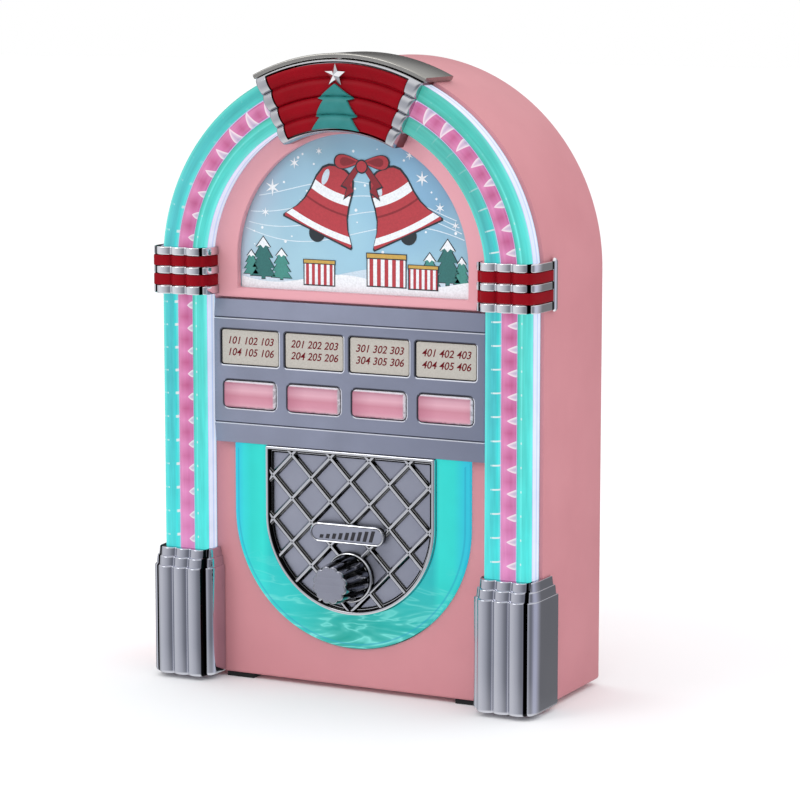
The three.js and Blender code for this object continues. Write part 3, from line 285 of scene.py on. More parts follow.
# Sparks: a line beside each lamp that fades between two distances, and where across the rib it shows
beside = add(tree, "Math", add(tree, "Math", cell, -0.12), 0.5, operation="PINGPONG")
sparks = []
for near, far, across in (
        (0.02, 0.045, [(0.5, "#000000"), (0.54, "#e6e6e6"), (0.58, "#7a7a7a"), (0.66, "#ffffff")]),
        (0.02, 0.045, [(0.1, "#000000"), (0.14, "#dddddd"), (0.18, "#000000"), (0.26, "#000000"),
                       (0.3, "#c8c8c8"), (0.34, "#303030"), (0.42, "#e0e0e0"), (0.48, "#000000")]),
        (0.04, 0.07, [(0.86, "#000000"), (0.93, "#ffffff")]),
        (0.03, 0.06, [(0.35, "#000000"), (0.39, "#d8d8d8"), (0.43, "#d8d8d8"), (0.47, "#000000")])):
    line = add(tree, "ValToRGB", beside, stops=[(near, "#ffffff"), (far, "#000000")])
    sparks.append(add(tree, "Math", line, add(tree, "ValToRGB", rightward, stops=across),
                      operation="MULTIPLY"))
dash, dots, blob, small = sparks
dots = add(tree, "Math", dots, blob, operation="MAXIMUM")
spark = add(tree, "Mix", left_rib, small, add(tree, "Mix", left_leg, dash, dots))
spark = add(tree, "Math", spark, add(tree, "MapRange", arch_part, 0.12, 0.6, 1.0, 0.1),
            operation="MULTIPLY")
tone = add(tree, "Mix", spark, tone, "#fdfdff", data_type="RGBA")
glow(tree, tone, "#1d6f6c", "#186562")

# The same in pink on the middle rib: a white flame at every lamp, broad on the rib's right edge and
# pointed to the left, with a lilac heart
acrylic_pink, tree = start_material("acrylic_pink_extruded_lit", Roughness=0.1, IOR=1.49,
                                    Emission_Strength=0.73)
rightward, cell, flare = [add(tree, "Attribute", attribute_name=mark, out="Fac")
                          for mark in ("rightward", "cell", "flare")]
away = add(tree, "Math", cell, 0.5, operation="PINGPONG")
# Tones across the rib between two lamps, and at a lamp
quiet = add(tree, "ValToRGB", rightward, stops=[
    (0, "#c43c70"), (0.07, "#c05a86"), (0.2, "#cf86ac"), (0.3, "#c77aa2"), (0.55, "#bb6890"),
    (0.8, "#b9608a"), (0.93, "#cc7aa6"), (1, "#dc6aa6")])
warm = add(tree, "ValToRGB", rightward, stops=[
    (0, "#d65f95"), (0.1, "#d885b4"), (0.4, "#e19ac6"), (1, "#df8cc0")])
tone = add(tree, "Mix", add(tree, "MapRange", away, 0.0, 0.5, 1.0, 0.0), quiet, warm, data_type="RGBA")
height = add(tree, "SeparateXYZ", add(tree, "TexCoord", out="Object"), out="Z")
tone = add(tree, "Mix", add(tree, "MapRange", height, 100 * MM, 50 * MM, 0.0, 0.45), tone, "#f2abea",
           data_type="RGBA")
tone = drawn(tree, tone, 0.92, 1.08)
depth = add(tree, "Math", flare, away, operation="SUBTRACT")
flame = add(tree, "ValToRGB", depth, stops=[(0.05, "#fdfdff"), (0.1, "#dedbee"), (0.2, "#c5c1dc")])
inside = add(tree, "ValToRGB", depth, stops=[(0.0, "#000000"), (0.02, "#ffffff")])
glow(tree, add(tree, "Mix", inside, tone, flame, data_type="RGBA"), "#7a3358", "#6f2d50")

# Clear acrylic of the channel under the ribs: its walls pipe white light, with thin lilac and blue
# lines at the steps behind the ribs
acrylic_clear, tree = start_material("acrylic_clear_extruded_lit", Roughness=0.12, IOR=1.49,
                                     Emission_Strength=0.73)
back = add(tree, "SeparateXYZ", add(tree, "TexCoord", out="Object"), out="Y")
back = add(tree, "MapRange", back, -22.7 * MM, -17.2 * MM, 0.0, 1.0)
tone = add(tree, "ValToRGB", back, stops=[
    (0, "#d9b4ef"), (0.06, "#e9edff"), (0.3, "#dfe9fb"), (0.42, "#e8eefd"), (0.6, "#a9c6f0"),
    (0.66, "#dce9fb"), (0.85, "#eef4ff"), (1, "#8fd0ea")])
glow(tree, drawn(tree, tone, 0.93, 1.05), "#8b93a8", "#7f879c")

# Moulded turquoise acrylic of the U: deeper in the bend, where lines of gathered light swirl, and a line of
# deeper blue painted as shade along its outer bevel
acrylic_band, tree = start_material("acrylic_turquoise_moulded_lit", Roughness=0.12, IOR=1.49,
                                    Specular_IOR_Level=0.3, Emission_Strength=0.82)
place = add(tree, "TexCoord", out="Object")
low = add(tree, "MapRange", add(tree, "SeparateXYZ", place, out="Z"), 50 * MM, 18 * MM, 0.0, 1.0)
right = add(tree, "MapRange", add(tree, "SeparateXYZ", place, out="X"), -46 * MM, 46 * MM, 0.0, 1.0)
bend = add(tree, "ValToRGB", right, stops=[
    (0, "#38e4ee"), (0.2, "#33d2cf"), (0.45, "#22a294"), (0.6, "#24a89c"), (0.8, "#28b0a8"),
    (1, "#2fc8c4")])
legs = add(tree, "ValToRGB", right, stops=[
    (0, "#35cdea"), (0.025, "#38e0e4"), (0.06, "#33dbd3"), (0.11, "#3ae6dc"), (0.145, "#2ecbca"),
    (0.86, "#2cbcc2"), (0.89, "#36e0d8"), (0.95, "#35dcd6"), (1, "#34c8e4")])
tone = add(tree, "Mix", low, legs, bend, data_type="RGBA")
turned = add(tree, "Mapping", place, None, (0, math.radians(-24), 0), (0.4, 1, 1.7))
cloud = add(tree, "TexNoise", turned, 1 / (17 * MM), 2.0, None, None, 2.2)
gleams = add(tree, "ValToRGB", cloud, stops=[
    (0.38, "#000000"), (0.47, "#505050"), (0.53, "#8a8a8a"), (0.56, "#f0f0f0"), (0.58, "#d0d0d0"),
    (0.62, "#606060"), (0.8, "#303030")])
tone = add(tree, "Mix", add(tree, "Math", gleams, low, operation="MULTIPLY"), tone, "#8df6ee",
           data_type="RGBA")
bevel = add(tree, "Math", add(tree, "Attribute", attribute_name="painted_light_and_print", out="Fac"), 0.6,
            operation="MULTIPLY")
glow(tree, add(tree, "Mix", bevel, tone, "#2b9fc4", data_type="RGBA"), "#0f5452", "#0d4b49")

# Pink acrylic of the buttons, moulded and polished: a gleam above the middle of the face, a darker band
# under it and along its top, a shaded left side, and a clear rim with small facets of light
button_pink, tree = start_material("acrylic_pink_button", Roughness=0.16, IOR=1.49,
                                    Specular_IOR_Level=0.3)
upward, sideways, rim = [add(tree, "Attribute", attribute_name=mark, out="Fac")
                         for mark in ("upward", "sideways", "rim")]
across = add(tree, "MapRange", sideways, -1.0, 1.0, 0.0, 1.0)
face = add(tree, "ValToRGB", add(tree, "MapRange", upward, -1.0, 1.0, 0.0, 1.0), stops=[
    (0.04, "#d6a2b0"), (0.22, "#cf90a2"), (0.45, "#c68697"), (0.66, "#d8a6b4"), (0.82, "#cb9aa9"),
    (0.96, "#ad7485")])
shaded = add(tree, "ValToRGB", across, stops=[
    (0.02, "#c0c0c0"), (0.06, "#b0b0b0"), (0.2, "#808080"), (0.36, "#181818"), (0.45, "#000000"),
    (0.85, "#181818"), (0.97, "#585858")])
face = add(tree, "Mix", shaded, face, "#9c5269", data_type="RGBA")
clear = add(tree, "ValToRGB", across, stops=[
    (0, "#9a5f70"), (0.5, "#b98494"), (0.95, "#c9b6be"), (1, "#e6e2e8")])
facet = add(tree, "Math", patches(tree, 1.6, detail=1.0), 0.52, operation="GREATER_THAN")
clear = add(tree, "Mix", add(tree, "Math", facet, 0.4, operation="MULTIPLY"), clear, "#5c5560",
            data_type="RGBA")
# A painted highlight along the top of the clear rim
clear = add(tree, "Mix", add(tree, "MapRange", upward, 0.86, 0.96, 0.0, 0.9), clear, "#e9e7ee",
            data_type="RGBA")
coat(tree, add(tree, "Mix", rim, face, clear, data_type="RGBA"), 3, 0.002)

# Printed polyester film behind the window: a matt sky with soft clouds, greyer on its left and deeper
# on its right
picture_print, tree = start_material("film_blue_printed", Roughness=0.5)
place = add(tree, "TexCoord", out="Object")
right = add(tree, "MapRange", add(tree, "SeparateXYZ", place, out="X"), -46 * MM, 46 * MM, 0.0, 1.0)
sky = add(tree, "ValToRGB", right, stops=[
    (0, "#b3bccf"), (0.2, "#93b7cd"), (0.5, "#93c0d8"), (0.75, "#84b1d0"), (1, "#76a0bd")])
cloud = add(tree, "MapRange", patches(tree, 26, detail=1.0), 0.35, 0.7, 0.0, 0.6)
coat(tree, add(tree, "Mix", cloud, sky, "#a9d2df", data_type="RGBA"), 2, 0.001)

# Inks of the picture, one tone of the ramp for each shape, with a faint screen of 0.6 mm
ink_tones = ["#eef2f6", "#c9dbe8", "#b5323c", "#8c1f2b", "#1f2b33", "#2d6f6c", "#3f8f86", "#c9a24a",
             "#d7e6f0"]
picture_inks, tree = start_material("inks_printed_on_film", Roughness=0.5)
tone = add(tree, "ValToRGB", add(tree, "Attribute", attribute_name="tone", out="Fac"), stops=[
    (k / 10, colour) for k, colour in enumerate(ink_tones)])
screen = add(tree, "MapRange", patches(tree, 0.6, detail=1.0), 0.3, 0.7, 0.9, 1.05)
wire(tree, Base_Color=add(tree, "VectorMath", tone, screen, operation="SCALE"))


# Outlines: arrays of [x, z] points seen from the front

def arc(centre, radius, first, last, steps):
    """Points on a circle of that centre and radius between two angles in degrees."""
    turn = np.radians(np.linspace(first, last, steps + 1))
    return np.column_stack([centre[0] + radius * np.cos(turn), centre[1] + radius * np.sin(turn)])


def once_round(steps):
    """Angles of even steps once round a circle."""
    return np.linspace(0, 2 * np.pi, steps, endpoint=False)


def arch_outline(half, bottom, centre=None, corner=0.6, steps=128):
    """Two straight sides under a half circle, the lower corners rounded; from bottom left clockwise."""
    middle = spring if centre is None else centre
    return np.vstack([
        arc((-half + corner, bottom + corner), corner, 270, 180, 5),
        arc((0, middle), half, 180, 0, steps),
        arc((half - corner, bottom + corner), corner, 0, -90, 5),
    ])


def shield_outline(half, top, centre, steps=128, corner=0.4):
    """Two straight sides over a half circle; from top left down and round to top right."""
    return np.vstack([
        arc((-half + corner, top - corner), corner, 90, 180, 4),
        arc((0, centre), half, 180, 360, steps),
        arc((half - corner, top - corner), corner, 0, 90, 4),
    ])


def rounded_outline(x, z, wide, high, radius, steps=8):
    """A rectangle about a centre, its corners quarter circles."""
    across, up = wide / 2 - radius, high / 2 - radius
    return np.vstack([
        arc((x + across, z + up), radius, 90, 0, steps),
        arc((x + across, z - up), radius, 0, -90, steps),
        arc((x - across, z - up), radius, 270, 180, steps),
        arc((x - across, z + up), radius, 180, 90, steps),
    ])


def set_in(outline, inset):
    """Every point of a closed outline moved inwards, along the mean of its two sides' normals."""
    before, after = np.roll(outline, 1, 0), np.roll(outline, -1, 0)
    sides = [outline - before, after - outline]
    normals = [np.column_stack([s[:, 1], -s[:, 0]]) / (np.linalg.norm(s, axis=1)[:, None] + 1e-9)
               for s in sides]
    area = (outline[:, 0] * after[:, 1] - after[:, 0] * outline[:, 1]).sum()
    mean = normals[0] + normals[1]
    mean /= np.maximum((mean ** 2).sum(1)[:, None] / 2, 0.5)
    return outline - mean * inset * (1 if area > 0 else -1)


def rounding(radius, steps=4):
    """[inset, setback] pairs that turn a square edge into a quarter circle, from its side to its face."""
    turn = np.linspace(0, np.pi / 2, steps + 1)
    return [(radius * (1 - math.cos(t)), radius * (1 - math.sin(t))) for t in turn]


def slab_layers(back, front, edge):
    """[inset, y] layers from a square back edge to a rounded front edge."""
    return [(0.0, back)] + [(inset, front + setback) for inset, setback in rounding(edge)]


# Closed surfaces

class Skin:
    """Points and faces of one piece, gathered loop by loop, and a mark on each point: how much painted light
    and shade it takes on most pieces, and the ink's tone on the picture's prints.
    """

    def __init__(self):
        self.points = np.empty((0, 3))
        self.shades = np.empty(0)
        self.faces = []

    def loop(self, outline, y=None, shade=0.0):
        """Adds a loop of points, [x, z] at one y or [x, y, z], and gives their numbers."""
        if outline.shape[1] == 2:
            outline = np.insert(outline, 1, y, axis=1)
        first = len(self.points)
        self.points = np.vstack([self.points, outline])
        self.shades = np.append(np.resize(self.shades, first), np.broadcast_to(shade, len(outline)))
        return np.arange(first, first + len(outline))

    def wall(self, one, other):
        """Quads between two loops of as many points."""
        quads = np.column_stack([one, np.roll(one, -1), np.roll(other, -1), other])
        self.faces += quads.tolist()

    def walls(self, loops, around=False):
        """Quads through a row of loops, and from the last to the first where it goes around."""
        pairs = list(zip(loops, loops[1:])) + ([(loops[-1], loops[0])] if around else [])
        for one, other in pairs:
            self.wall(one, other)

    def fill(self, *loops, flat=None, axes=(0, 2)):
        """Triangles inside the first loop and outside the others."""
        numbers = np.concatenate(loops)
        corners = [np.pad(self.points[loop][:, axes] if flat is None else flat, ((0, 0), (0, 1)))
                   for loop in loops]
        triangles = tessellate_polygon([c.tolist() for c in corners])
        self.faces += numbers[np.array(triangles)].tolist()


def make_piece(name, skin, material, body="cabinet", slot=None, stands_for=(), crease=32, marks=None):
    """One object from a skin in millimetres: merged, turned outwards, shaded smooth up to the crease angle
    and tied to its body; the solids that it stands for are hidden. The material slot is not used."""
    mesh = bpy.data.meshes.new(name)
    mesh.from_pydata((skin.points * MM).tolist(), [], skin.faces)
    for mark, values in (marks or {"painted_light_and_print": np.resize(skin.shades, len(skin.points))}).items():
        mesh.attributes.new(mark, "FLOAT", "POINT").data.foreach_set("value", values.astype(np.float32))
    work = bmesh.new()
    work.from_mesh(mesh)
    bmesh.ops.remove_doubles(work, verts=work.verts, dist=1e-7)
    bmesh.ops.recalc_face_normals(work, faces=work.faces)
    work.to_mesh(mesh)
    work.free()
    mesh.shade_smooth()
    mesh.set_sharp_from_angle(angle=math.radians(crease))
    mesh.materials.append(material)
    item = bpy.data.objects.new(name, mesh)
    bpy.context.scene.collection.objects.link(item)
    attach(item, body)
    if stands_for:
        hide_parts(*stands_for)


def plate(outline, layers, holes=(), skin=None):
    """A flat piece drawn from the front: outline(inset) at each [inset, y] or [inset, y, shade] layer,
    and holes right through, whose outlines grow by the inset."""
    skin = skin or Skin()
    sides, *through = [[skin.loop(line(inset), *rest) for inset, *rest in layers]
                       for line in (outline, *holes)]
    skin.walls(sides)
    for loops in through:
        skin.walls(loops)
    skin.fill(sides[-1], *[loops[-1] for loops in through])
    skin.fill(sides[0], *[loops[0] for loops in through])
    return skin


def around(outline, profile, skin=None):
    """A profile of [inset, y] or [inset, y, shade] points carried along a closed outline and joined
    end to end."""
    skin = skin or Skin()
    skin.walls([skin.loop(outline(inset), *rest) for inset, *rest in profile], around=True)
    return skin


def arch_path(bottom, steps=144, leg_steps=12):
    """Stations up the left leg, round the top and down the right leg: the angle at the arch's centre, 180
    degrees on all of the left leg and 0 on the right, and the drop below the centre, 0 on the arch."""
    drop = spring - bottom
    legs = np.linspace(1, 0, leg_steps + 1)[:-1] * drop
    angle = np.concatenate([np.full(leg_steps, np.pi), np.linspace(np.pi, 0, steps + 1),
                            np.zeros(leg_steps)])
    drops = np.concatenate([legs, np.zeros(steps + 1), legs[::-1]])
    return angle, drops


def sweep(section, angle, drops):
    """A closed section of [radius, y] points carried round the arch's centre; the section may be one
    array or one per station. A point lies at its radius times the cosine and sine of the angle."""
    skin = Skin()
    sections = np.broadcast_to(section, (len(angle), *np.shape(section)[-2:]))
    loops = []
    for cut_line, turn, drop in zip(sections, angle, drops):
        radius, y = cut_line[:, 0], cut_line[:, 1]
        loops.append(skin.loop(np.column_stack([
            math.cos(turn) * radius, y, spring - drop + math.sin(turn) * radius])))
    skin.walls(loops)
    skin.fill(loops[0], flat=sections[0])
    skin.fill(loops[-1], flat=sections[-1])
    return skin


def half_ribs(first, last, count, valley, rise, steps=14, cut=0.0):
    """Half ellipses side by side, [across, y], bulging to the front from the valley line. The cut, a
    share of the rise, leaves a narrow flat in each valley."""
    turn = np.linspace(math.asin(cut), np.pi - math.asin(cut), steps + 1)
    if cut:
        turn = np.concatenate([[0], turn, [np.pi]])
    wide = (last - first) / count
    ribs = [np.column_stack([first + wide * (k + (1 - np.cos(turn)) / 2),
                             valley - rise * np.maximum(np.sin(turn), cut)]) for k in range(count)]
    return np.vstack([ribs[0]] + [rib[1:] for rib in ribs[1:]])


def rising(plan, low, high, edge, steps=3):
    """(plan, height) levels from low to high, with both edges rounded: plan(inset) at each level."""
    turned = rounding(edge, steps)
    return ([(plan(inset), low + setback) for inset, setback in turned[::-1]]
            + [(plan(inset), high - setback) for inset, setback in turned])


def stack(levels, skin=None):
    """(plan, height) levels, whose plans have as many [x, y] points each, joined in their order."""
    skin = skin or Skin()
    loops = [skin.loop(np.column_stack([plan, np.full(len(plan), height)])) for plan, height in levels]
    skin.walls(loops)
    skin.fill(loops[0], axes=(0, 1))
    skin.fill(loops[-1], axes=(0, 1))
    return skin


# Cabinet: an arched wall round the inside, with a flange behind the lit arch and a ledge for the panel
seat_lap, ledge_wide, ledge_thick = 1.7, 3, 2
seat_inset = cabinet_half - tube_inner - seat_lap
ledge_inset = seat_inset + ledge_wide
sliver = 0.03


def cabinet_outline(inset):
    """An arch set in by the inset, its bottom raised as much, but by a wall's thickness at most and only
    a sliver at the panel's seat."""
    rise = sliver if inset == seat_inset else min(inset, cabinet_wall)
    return arch_outline(cabinet_half - inset, cabinet_bottom + rise, corner=1.2)


front_edge, back_edge, inner_edge = 0.35, 1.1, 0.4
ledge_back = flange_back + ledge_thick
cabinet_profile = [
    (front_edge, cabinet_front), (0.1, cabinet_front + 0.1), (0, cabinet_front + front_edge),
    *[(inset, cabinet_back - setback) for inset, setback in rounding(back_edge, 5)],
    (cabinet_wall - inner_edge, cabinet_back), (cabinet_wall, cabinet_back - inner_edge),
    (cabinet_wall, ledge_back), (ledge_inset, ledge_back), (ledge_inset, flange_back),
    (seat_inset, flange_back), (seat_inset, cabinet_front),
]
make_piece("cabinet_skin", around(cabinet_outline, cabinet_profile), pink_lacquer,
           slot="painted_cabinet", stands_for=["cabinet_shell"])

# Front panel with the sloping frame round its window
frame_half = tube_inner - 0.5
window_half = frame_half - 9
frame_bottom = selector_top + 0.6
window_bottom = frame_bottom + 3.4
window_centre = spring + 2.6
frame_front = cabinet_front - 1.8
frame_inner_front = cabinet_front - 0.4
frame_lap = 0.6
button_low, button_high = solid_box("button_1")
row_margin = 1.2
button_row_low, button_row_high = button_low[2] - row_margin, button_high[2] + row_margin
row_half = -button_low[0] + row_margin
light_opening = light_half + gap
seat_half = cabinet_half - seat_inset


def panel_outline(inset):
    """The arch of the panel's seat, a gap smaller and set in by the inset."""
    return arch_outline(seat_half - gap - inset, cabinet_bottom + sliver + inset)


panel_holes = [
    lambda grow: arch_outline(window_half + frame_lap + grow, window_bottom - frame_lap - grow,
                              window_centre),
    lambda grow: shield_outline(light_opening + grow, selector_bottom + grow, light_centre),
    lambda grow: rounded_outline(0, (button_row_low + button_row_high) / 2, 2 * row_half,
                                 button_row_high - button_row_low, 1),
]
panel = plate(panel_outline, slab_layers(panel_back, cabinet_front, 0.25), panel_holes)
frame_loops = [
    (arch_outline(frame_half, frame_bottom), panel_back - 0.5),
    (arch_outline(frame_half, frame_bottom), frame_front + 0.3),
    (arch_outline(frame_half - 0.1, frame_bottom + 0.1), frame_front + 0.1),
    (arch_outline(frame_half - 0.3, frame_bottom + 0.3), frame_front),
    (arch_outline(frame_half - 0.8, frame_bottom + 0.8), frame_front),
    (arch_outline(window_half + 0.7, window_bottom - 0.5, window_centre), frame_inner_front),
    (arch_outline(window_half + 0.2, window_bottom - 0.15, window_centre), frame_inner_front),
    (arch_outline(window_half, window_bottom, window_centre), frame_inner_front + 0.3),
    (arch_outline(window_half, window_bottom, window_centre), panel_back),
]
# The frame's loops carry the mark for painted light, which makes them paler
panel.walls([panel.loop(outline, y, 1.0) for outline, y in frame_loops], around=True)
make_piece("front_panel_skin", panel, pink_lacquer, slot="painted_cabinet", stands_for=["front_panel"])

# Picture behind the window
picture_low, picture_high = solid_box("picture_panel")
film = plate(lambda inset: arch_outline(picture_high[0] - inset, picture_low[2] + inset, window_centre),
             slab_layers(picture_high[1], picture_low[1], 0.2))
make_piece("picture_film", film, picture_print, slot="printed_film", stands_for=["picture_panel"])

# What is printed on it: snow hills, pines, two bells under a bow, parcels, snow and lines of wind. Each
# ink is a place on the ramp of tones
WHITE, PALE, RED, WINE, DARK, PINE, LEAF, GOLD, MIST = (k / 10 for k in range(9))
ink_step, ink_thick = 0.03, 0.028
prints = Skin()


def print_shape(outline, tone, layer):
    """One flat shape of ink as a thin slab, each layer lying a step in front of the last."""
    front = picture_low[1] - ink_step * (layer + 1)
    plate(lambda inset: outline, [(0, front + ink_thick, tone), (0, front, tone)], skin=prints)


def turned_by(outline, degrees, x, z):
    """An outline turned about its origin, then moved."""
    c, s = math.cos(math.radians(degrees)), math.sin(math.radians(degrees))
    return outline @ np.array([[c, s], [-s, c]]) + [x, z]


def ribbon_line(x, z, wide):
    """A line of even width through points: they are moved half of it along the normal to both sides."""
    across = np.gradient(np.column_stack([x, z]), axis=0)
    across = np.column_stack([-across[:, 1], across[:, 0]]) / np.linalg.norm(across, axis=1)[:, None]
    middle = np.column_stack([x, z])
    wide = np.broadcast_to(wide, len(x))[:, None]
    return np.vstack([middle + across * wide / 2, (middle - across * wide / 2)[::-1]])


def bell_outline(grow):
    """A bell of height 1 hung from its origin: half widths at depths, from the top down to the lip and
    mirrored back up, made bigger all round."""
    down = np.array([0, 0.03, 0.1, 0.25, 0.45, 0.62, 0.76, 0.87, 0.95, 0.98])
    half = np.array([0.08, 0.17, 0.25, 0.3, 0.32, 0.36, 0.43, 0.52, 0.58, 0.57])
    side = np.column_stack([half + grow, -down * (1 + 2 * grow) + grow])
    return np.vstack([side, side[::-1] * [-1, 1]])


def pine_outline(wide, tall):
    """A pine of four tiers on a short trunk: half widths at depths below its tip, down the right side
    and up the left."""
    tiers = [(0, 0), (0.3, 0.26), (0.16, 0.26), (0.38, 0.5), (0.22, 0.5), (0.46, 0.74), (0.28, 0.74),
             (0.5, 0.94), (0.08, 0.94), (0.08, 1)]
    side = np.array([(half * wide, -down * tall) for half, down in tiers])
    return np.vstack([side, side[:0:-1] * [-1, 1]])


# Four lines of wind, kept inside the window, and two snow hills in waves from side to side
floor_line, high_line = window_bottom - frame_lap, window_bottom + 1
picture_half = 46
far = np.linspace(-picture_half, picture_half, 60)
for k in range(4):
    x = np.linspace(-44 + k, 43.5 - k, 70)
    z = window_bottom + 21 + 4.4 * k + 5.5 * np.sin(x / 17 + 0.5 * k) - 0.08 * x
    inside = np.hypot(x, z - window_centre) < window_half - 0.5
    print_shape(ribbon_line(x[inside], z[inside], 0.32), MIST, 0)
for crest, height, wave, tone, layer in ((0.4, 5.5, 13, PALE, 1), (2.1, 3.4, 9, WHITE, 3)):
    z = high_line + height + height * 0.55 * np.sin(far / wave + crest)
    hill = np.vstack([np.column_stack([far, z]),
                      [[picture_half, floor_line], [-picture_half, floor_line]]])
    print_shape(hill, tone, layer)
# Pines with a dark line round them and a cap of snow
snow_cap = np.array([[0, 0], [0.3, -0.26], [0.1, -0.2], [0, -0.27], [-0.12, -0.19], [-0.3, -0.26]])
for x, z, wide, tall, tone in (
        (-37, 163, 10, 15, PINE), (-29.5, 159, 8, 11, LEAF), (-42, 158, 6, 9, LEAF),
        (37, 165, 10, 16, PINE), (30, 160, 8, 12, LEAF), (42.5, 159, 6, 10, LEAF)):
    print_shape(pine_outline(wide + 0.9, tall + 0.8) + [x, z + 0.5], DARK, 1.4)
    print_shape(pine_outline(wide, tall) + [x, z], tone, 2)
    print_shape(snow_cap * [wide, tall] + [x, z], WHITE, 2.4)

# Bells: a clapper, a dark line round the bell, its bands, bowed as its lip is, and a gleam
bell_tall = 25.0
swing = once_round(24)
clapper = np.column_stack([0.13 * np.cos(swing), 0.13 * np.sin(swing) - 1.0])
gleam = np.column_stack([0.05 * np.cos(swing) - 0.17, 0.12 * np.sin(swing) - 0.2])
share = np.linspace(-1, 1, 15)
bow = 0.035 * (share ** 2 - 1)
for x, z, lean, layer in ((11.5, 188.5, 24, 4), (-5.5, 188.5, -22, 6)):
    shapes = [(clapper, DARK, -0.3), (bell_outline(0.025), DARK, 0), (bell_outline(0), RED, 0.4)]
    for top, bottom, tone in ((0.3, 0.44, WHITE), (0.84, 0.93, WHITE), (0.56, 0.59, WINE)):
        half = np.interp([top, bottom], -bell_outline(0)[:10, 1], bell_outline(0)[:10, 0])
        band = np.vstack([np.column_stack([share * half[0], bow - top]),
                          np.column_stack([share * half[1], bow - bottom])[::-1]])
        shapes.append((band, tone, 0.8))
    for shape, tone, above in shapes + [(gleam, PALE, 1.1)]:
        print_shape(turned_by(shape * bell_tall, lean, x, z), tone, layer + above)

# Bow over both bells: tails, ears and a round knot, each with a dark line round it
knot_x, knot_z = 3.2, 189.5
loop_turn = once_round(32)
tail = np.array([[0, 0], [5, -7], [3.2, -9.4], [7.4, -12], [6.2, -8.2], [8.6, -7.2], [2, 1]])
for side in (-1, 1):
    print_shape(tail * [side, 1] + [knot_x, knot_z], DARK, 8)
    print_shape(tail * [side * 0.88, 0.9] + [knot_x + 0.3 * side, knot_z - 0.3], WINE, 8.4)
    for grow, tone, layer in ((0.5, DARK, 8.8), (0, RED, 9.2), (-1.7, WINE, 9.6)):
        reach = 4.7 + grow
        ear = np.column_stack([side * (5.2 + reach * np.cos(loop_turn) * 1.15),
                               2.2 + (reach * 0.72) * np.sin(loop_turn) * (1.15 + np.cos(loop_turn)) / 2])
        print_shape(ear + [knot_x, knot_z - 0.6], tone, layer)
for radius, tone, layer in ((2.5, DARK, 10), (2.0, RED, 10.4)):
    print_shape(arc((knot_x, knot_z), radius, 0, 345, 23), tone, layer)

# Parcels with striped paper on the snow
box = np.array([[-0.5, 0], [0.5, 0], [0.5, 1], [-0.5, 1]])
for x, z, wide, tall, paper, stripe in (
        (13, 147.5, 15, 11, WHITE, RED), (27.5, 147.2, 11, 8, RED, WHITE),
        (-14, 146.8, 12, 8.5, WHITE, RED)):
    print_shape(box * [wide + 0.9, tall + 0.9] + [x, z - 0.45], DARK, 5)
    print_shape(box * [wide, tall] + [x, z], paper, 5.4)
    for k in range(5):
        place = x - wide / 2 + wide * (k + 0.5) / 5
        print_shape(box * [wide / 10, tall] + [place, z], stripe, 5.8)
    print_shape(box * [wide + 1.2, tall * 0.2] + [x, z + tall * 0.86], DARK, 6.0)
    print_shape(box * [wide + 0.5, tall * 0.13] + [x, z + tall * 0.9], GOLD, 6.3)

# Snow: six-pointed flakes and round grains
chance = np.random.default_rng(7)
point = np.arange(12)
for x, z, size in ((-33, 181, 3.2), (-24, 190, 2.2), (-36, 172, 1.8), (-20, 176, 2.4), (27, 186, 2.8),
                   (34, 176, 2.0), (22, 194, 1.7), (-14, 194.5, 1.5), (40, 170, 1.6), (25, 172, 1.5)):
    reach = np.where(point % 2, 0.28, 1.0) * size
    flake = np.column_stack([reach * np.sin(point * np.pi / 6), reach * np.cos(point * np.pi / 6)])
    print_shape(flake + [x, z], WHITE, 3.6)
for x, z, size in zip(chance.uniform(-41, 41, 46), chance.uniform(158, 197, 46),
                      chance.uniform(0.25, 0.6, 46)):
    if math.hypot(x, z - window_centre) < window_half - 2:
        print_shape(arc((x, z), size, 0, 315, 7), WHITE, 0.5)
make_piece("picture_inks", prints, picture_inks, slot="printed_film",
           marks={"tone": prints.shades})

# Lit arch: three ribs on the walls of a clear channel
angle, drops = arch_path(leg_bottom)

# Where the glints sit, as [length from the leg's foot, count], on the left and on the right, and how
# far the flames reach over the middle rib at a length from the foot
left_glints = [(-50.0, -11.6), (51.6, 0), (60.4, 1), (118.9, 8), (171.0, 14), (220.0, 19.6)]
right_glints = [(-50.0, -12.0), (51.9, 0), (60.5, 1), (134.6, 10), (166.6, 14), (220.0, 20.6)]
left_reach = [(110, 0.22), (127, 0.27), (136, 0.36), (144, 0.52), (153, 0.7), (162, 0.98), (171, 1.1)]
right_reach = [(134, 0.5), (142, 0.56), (150, 0.66), (158, 0.8), (167, 1.05), (176, 1.1)]
glint_step = 8.6


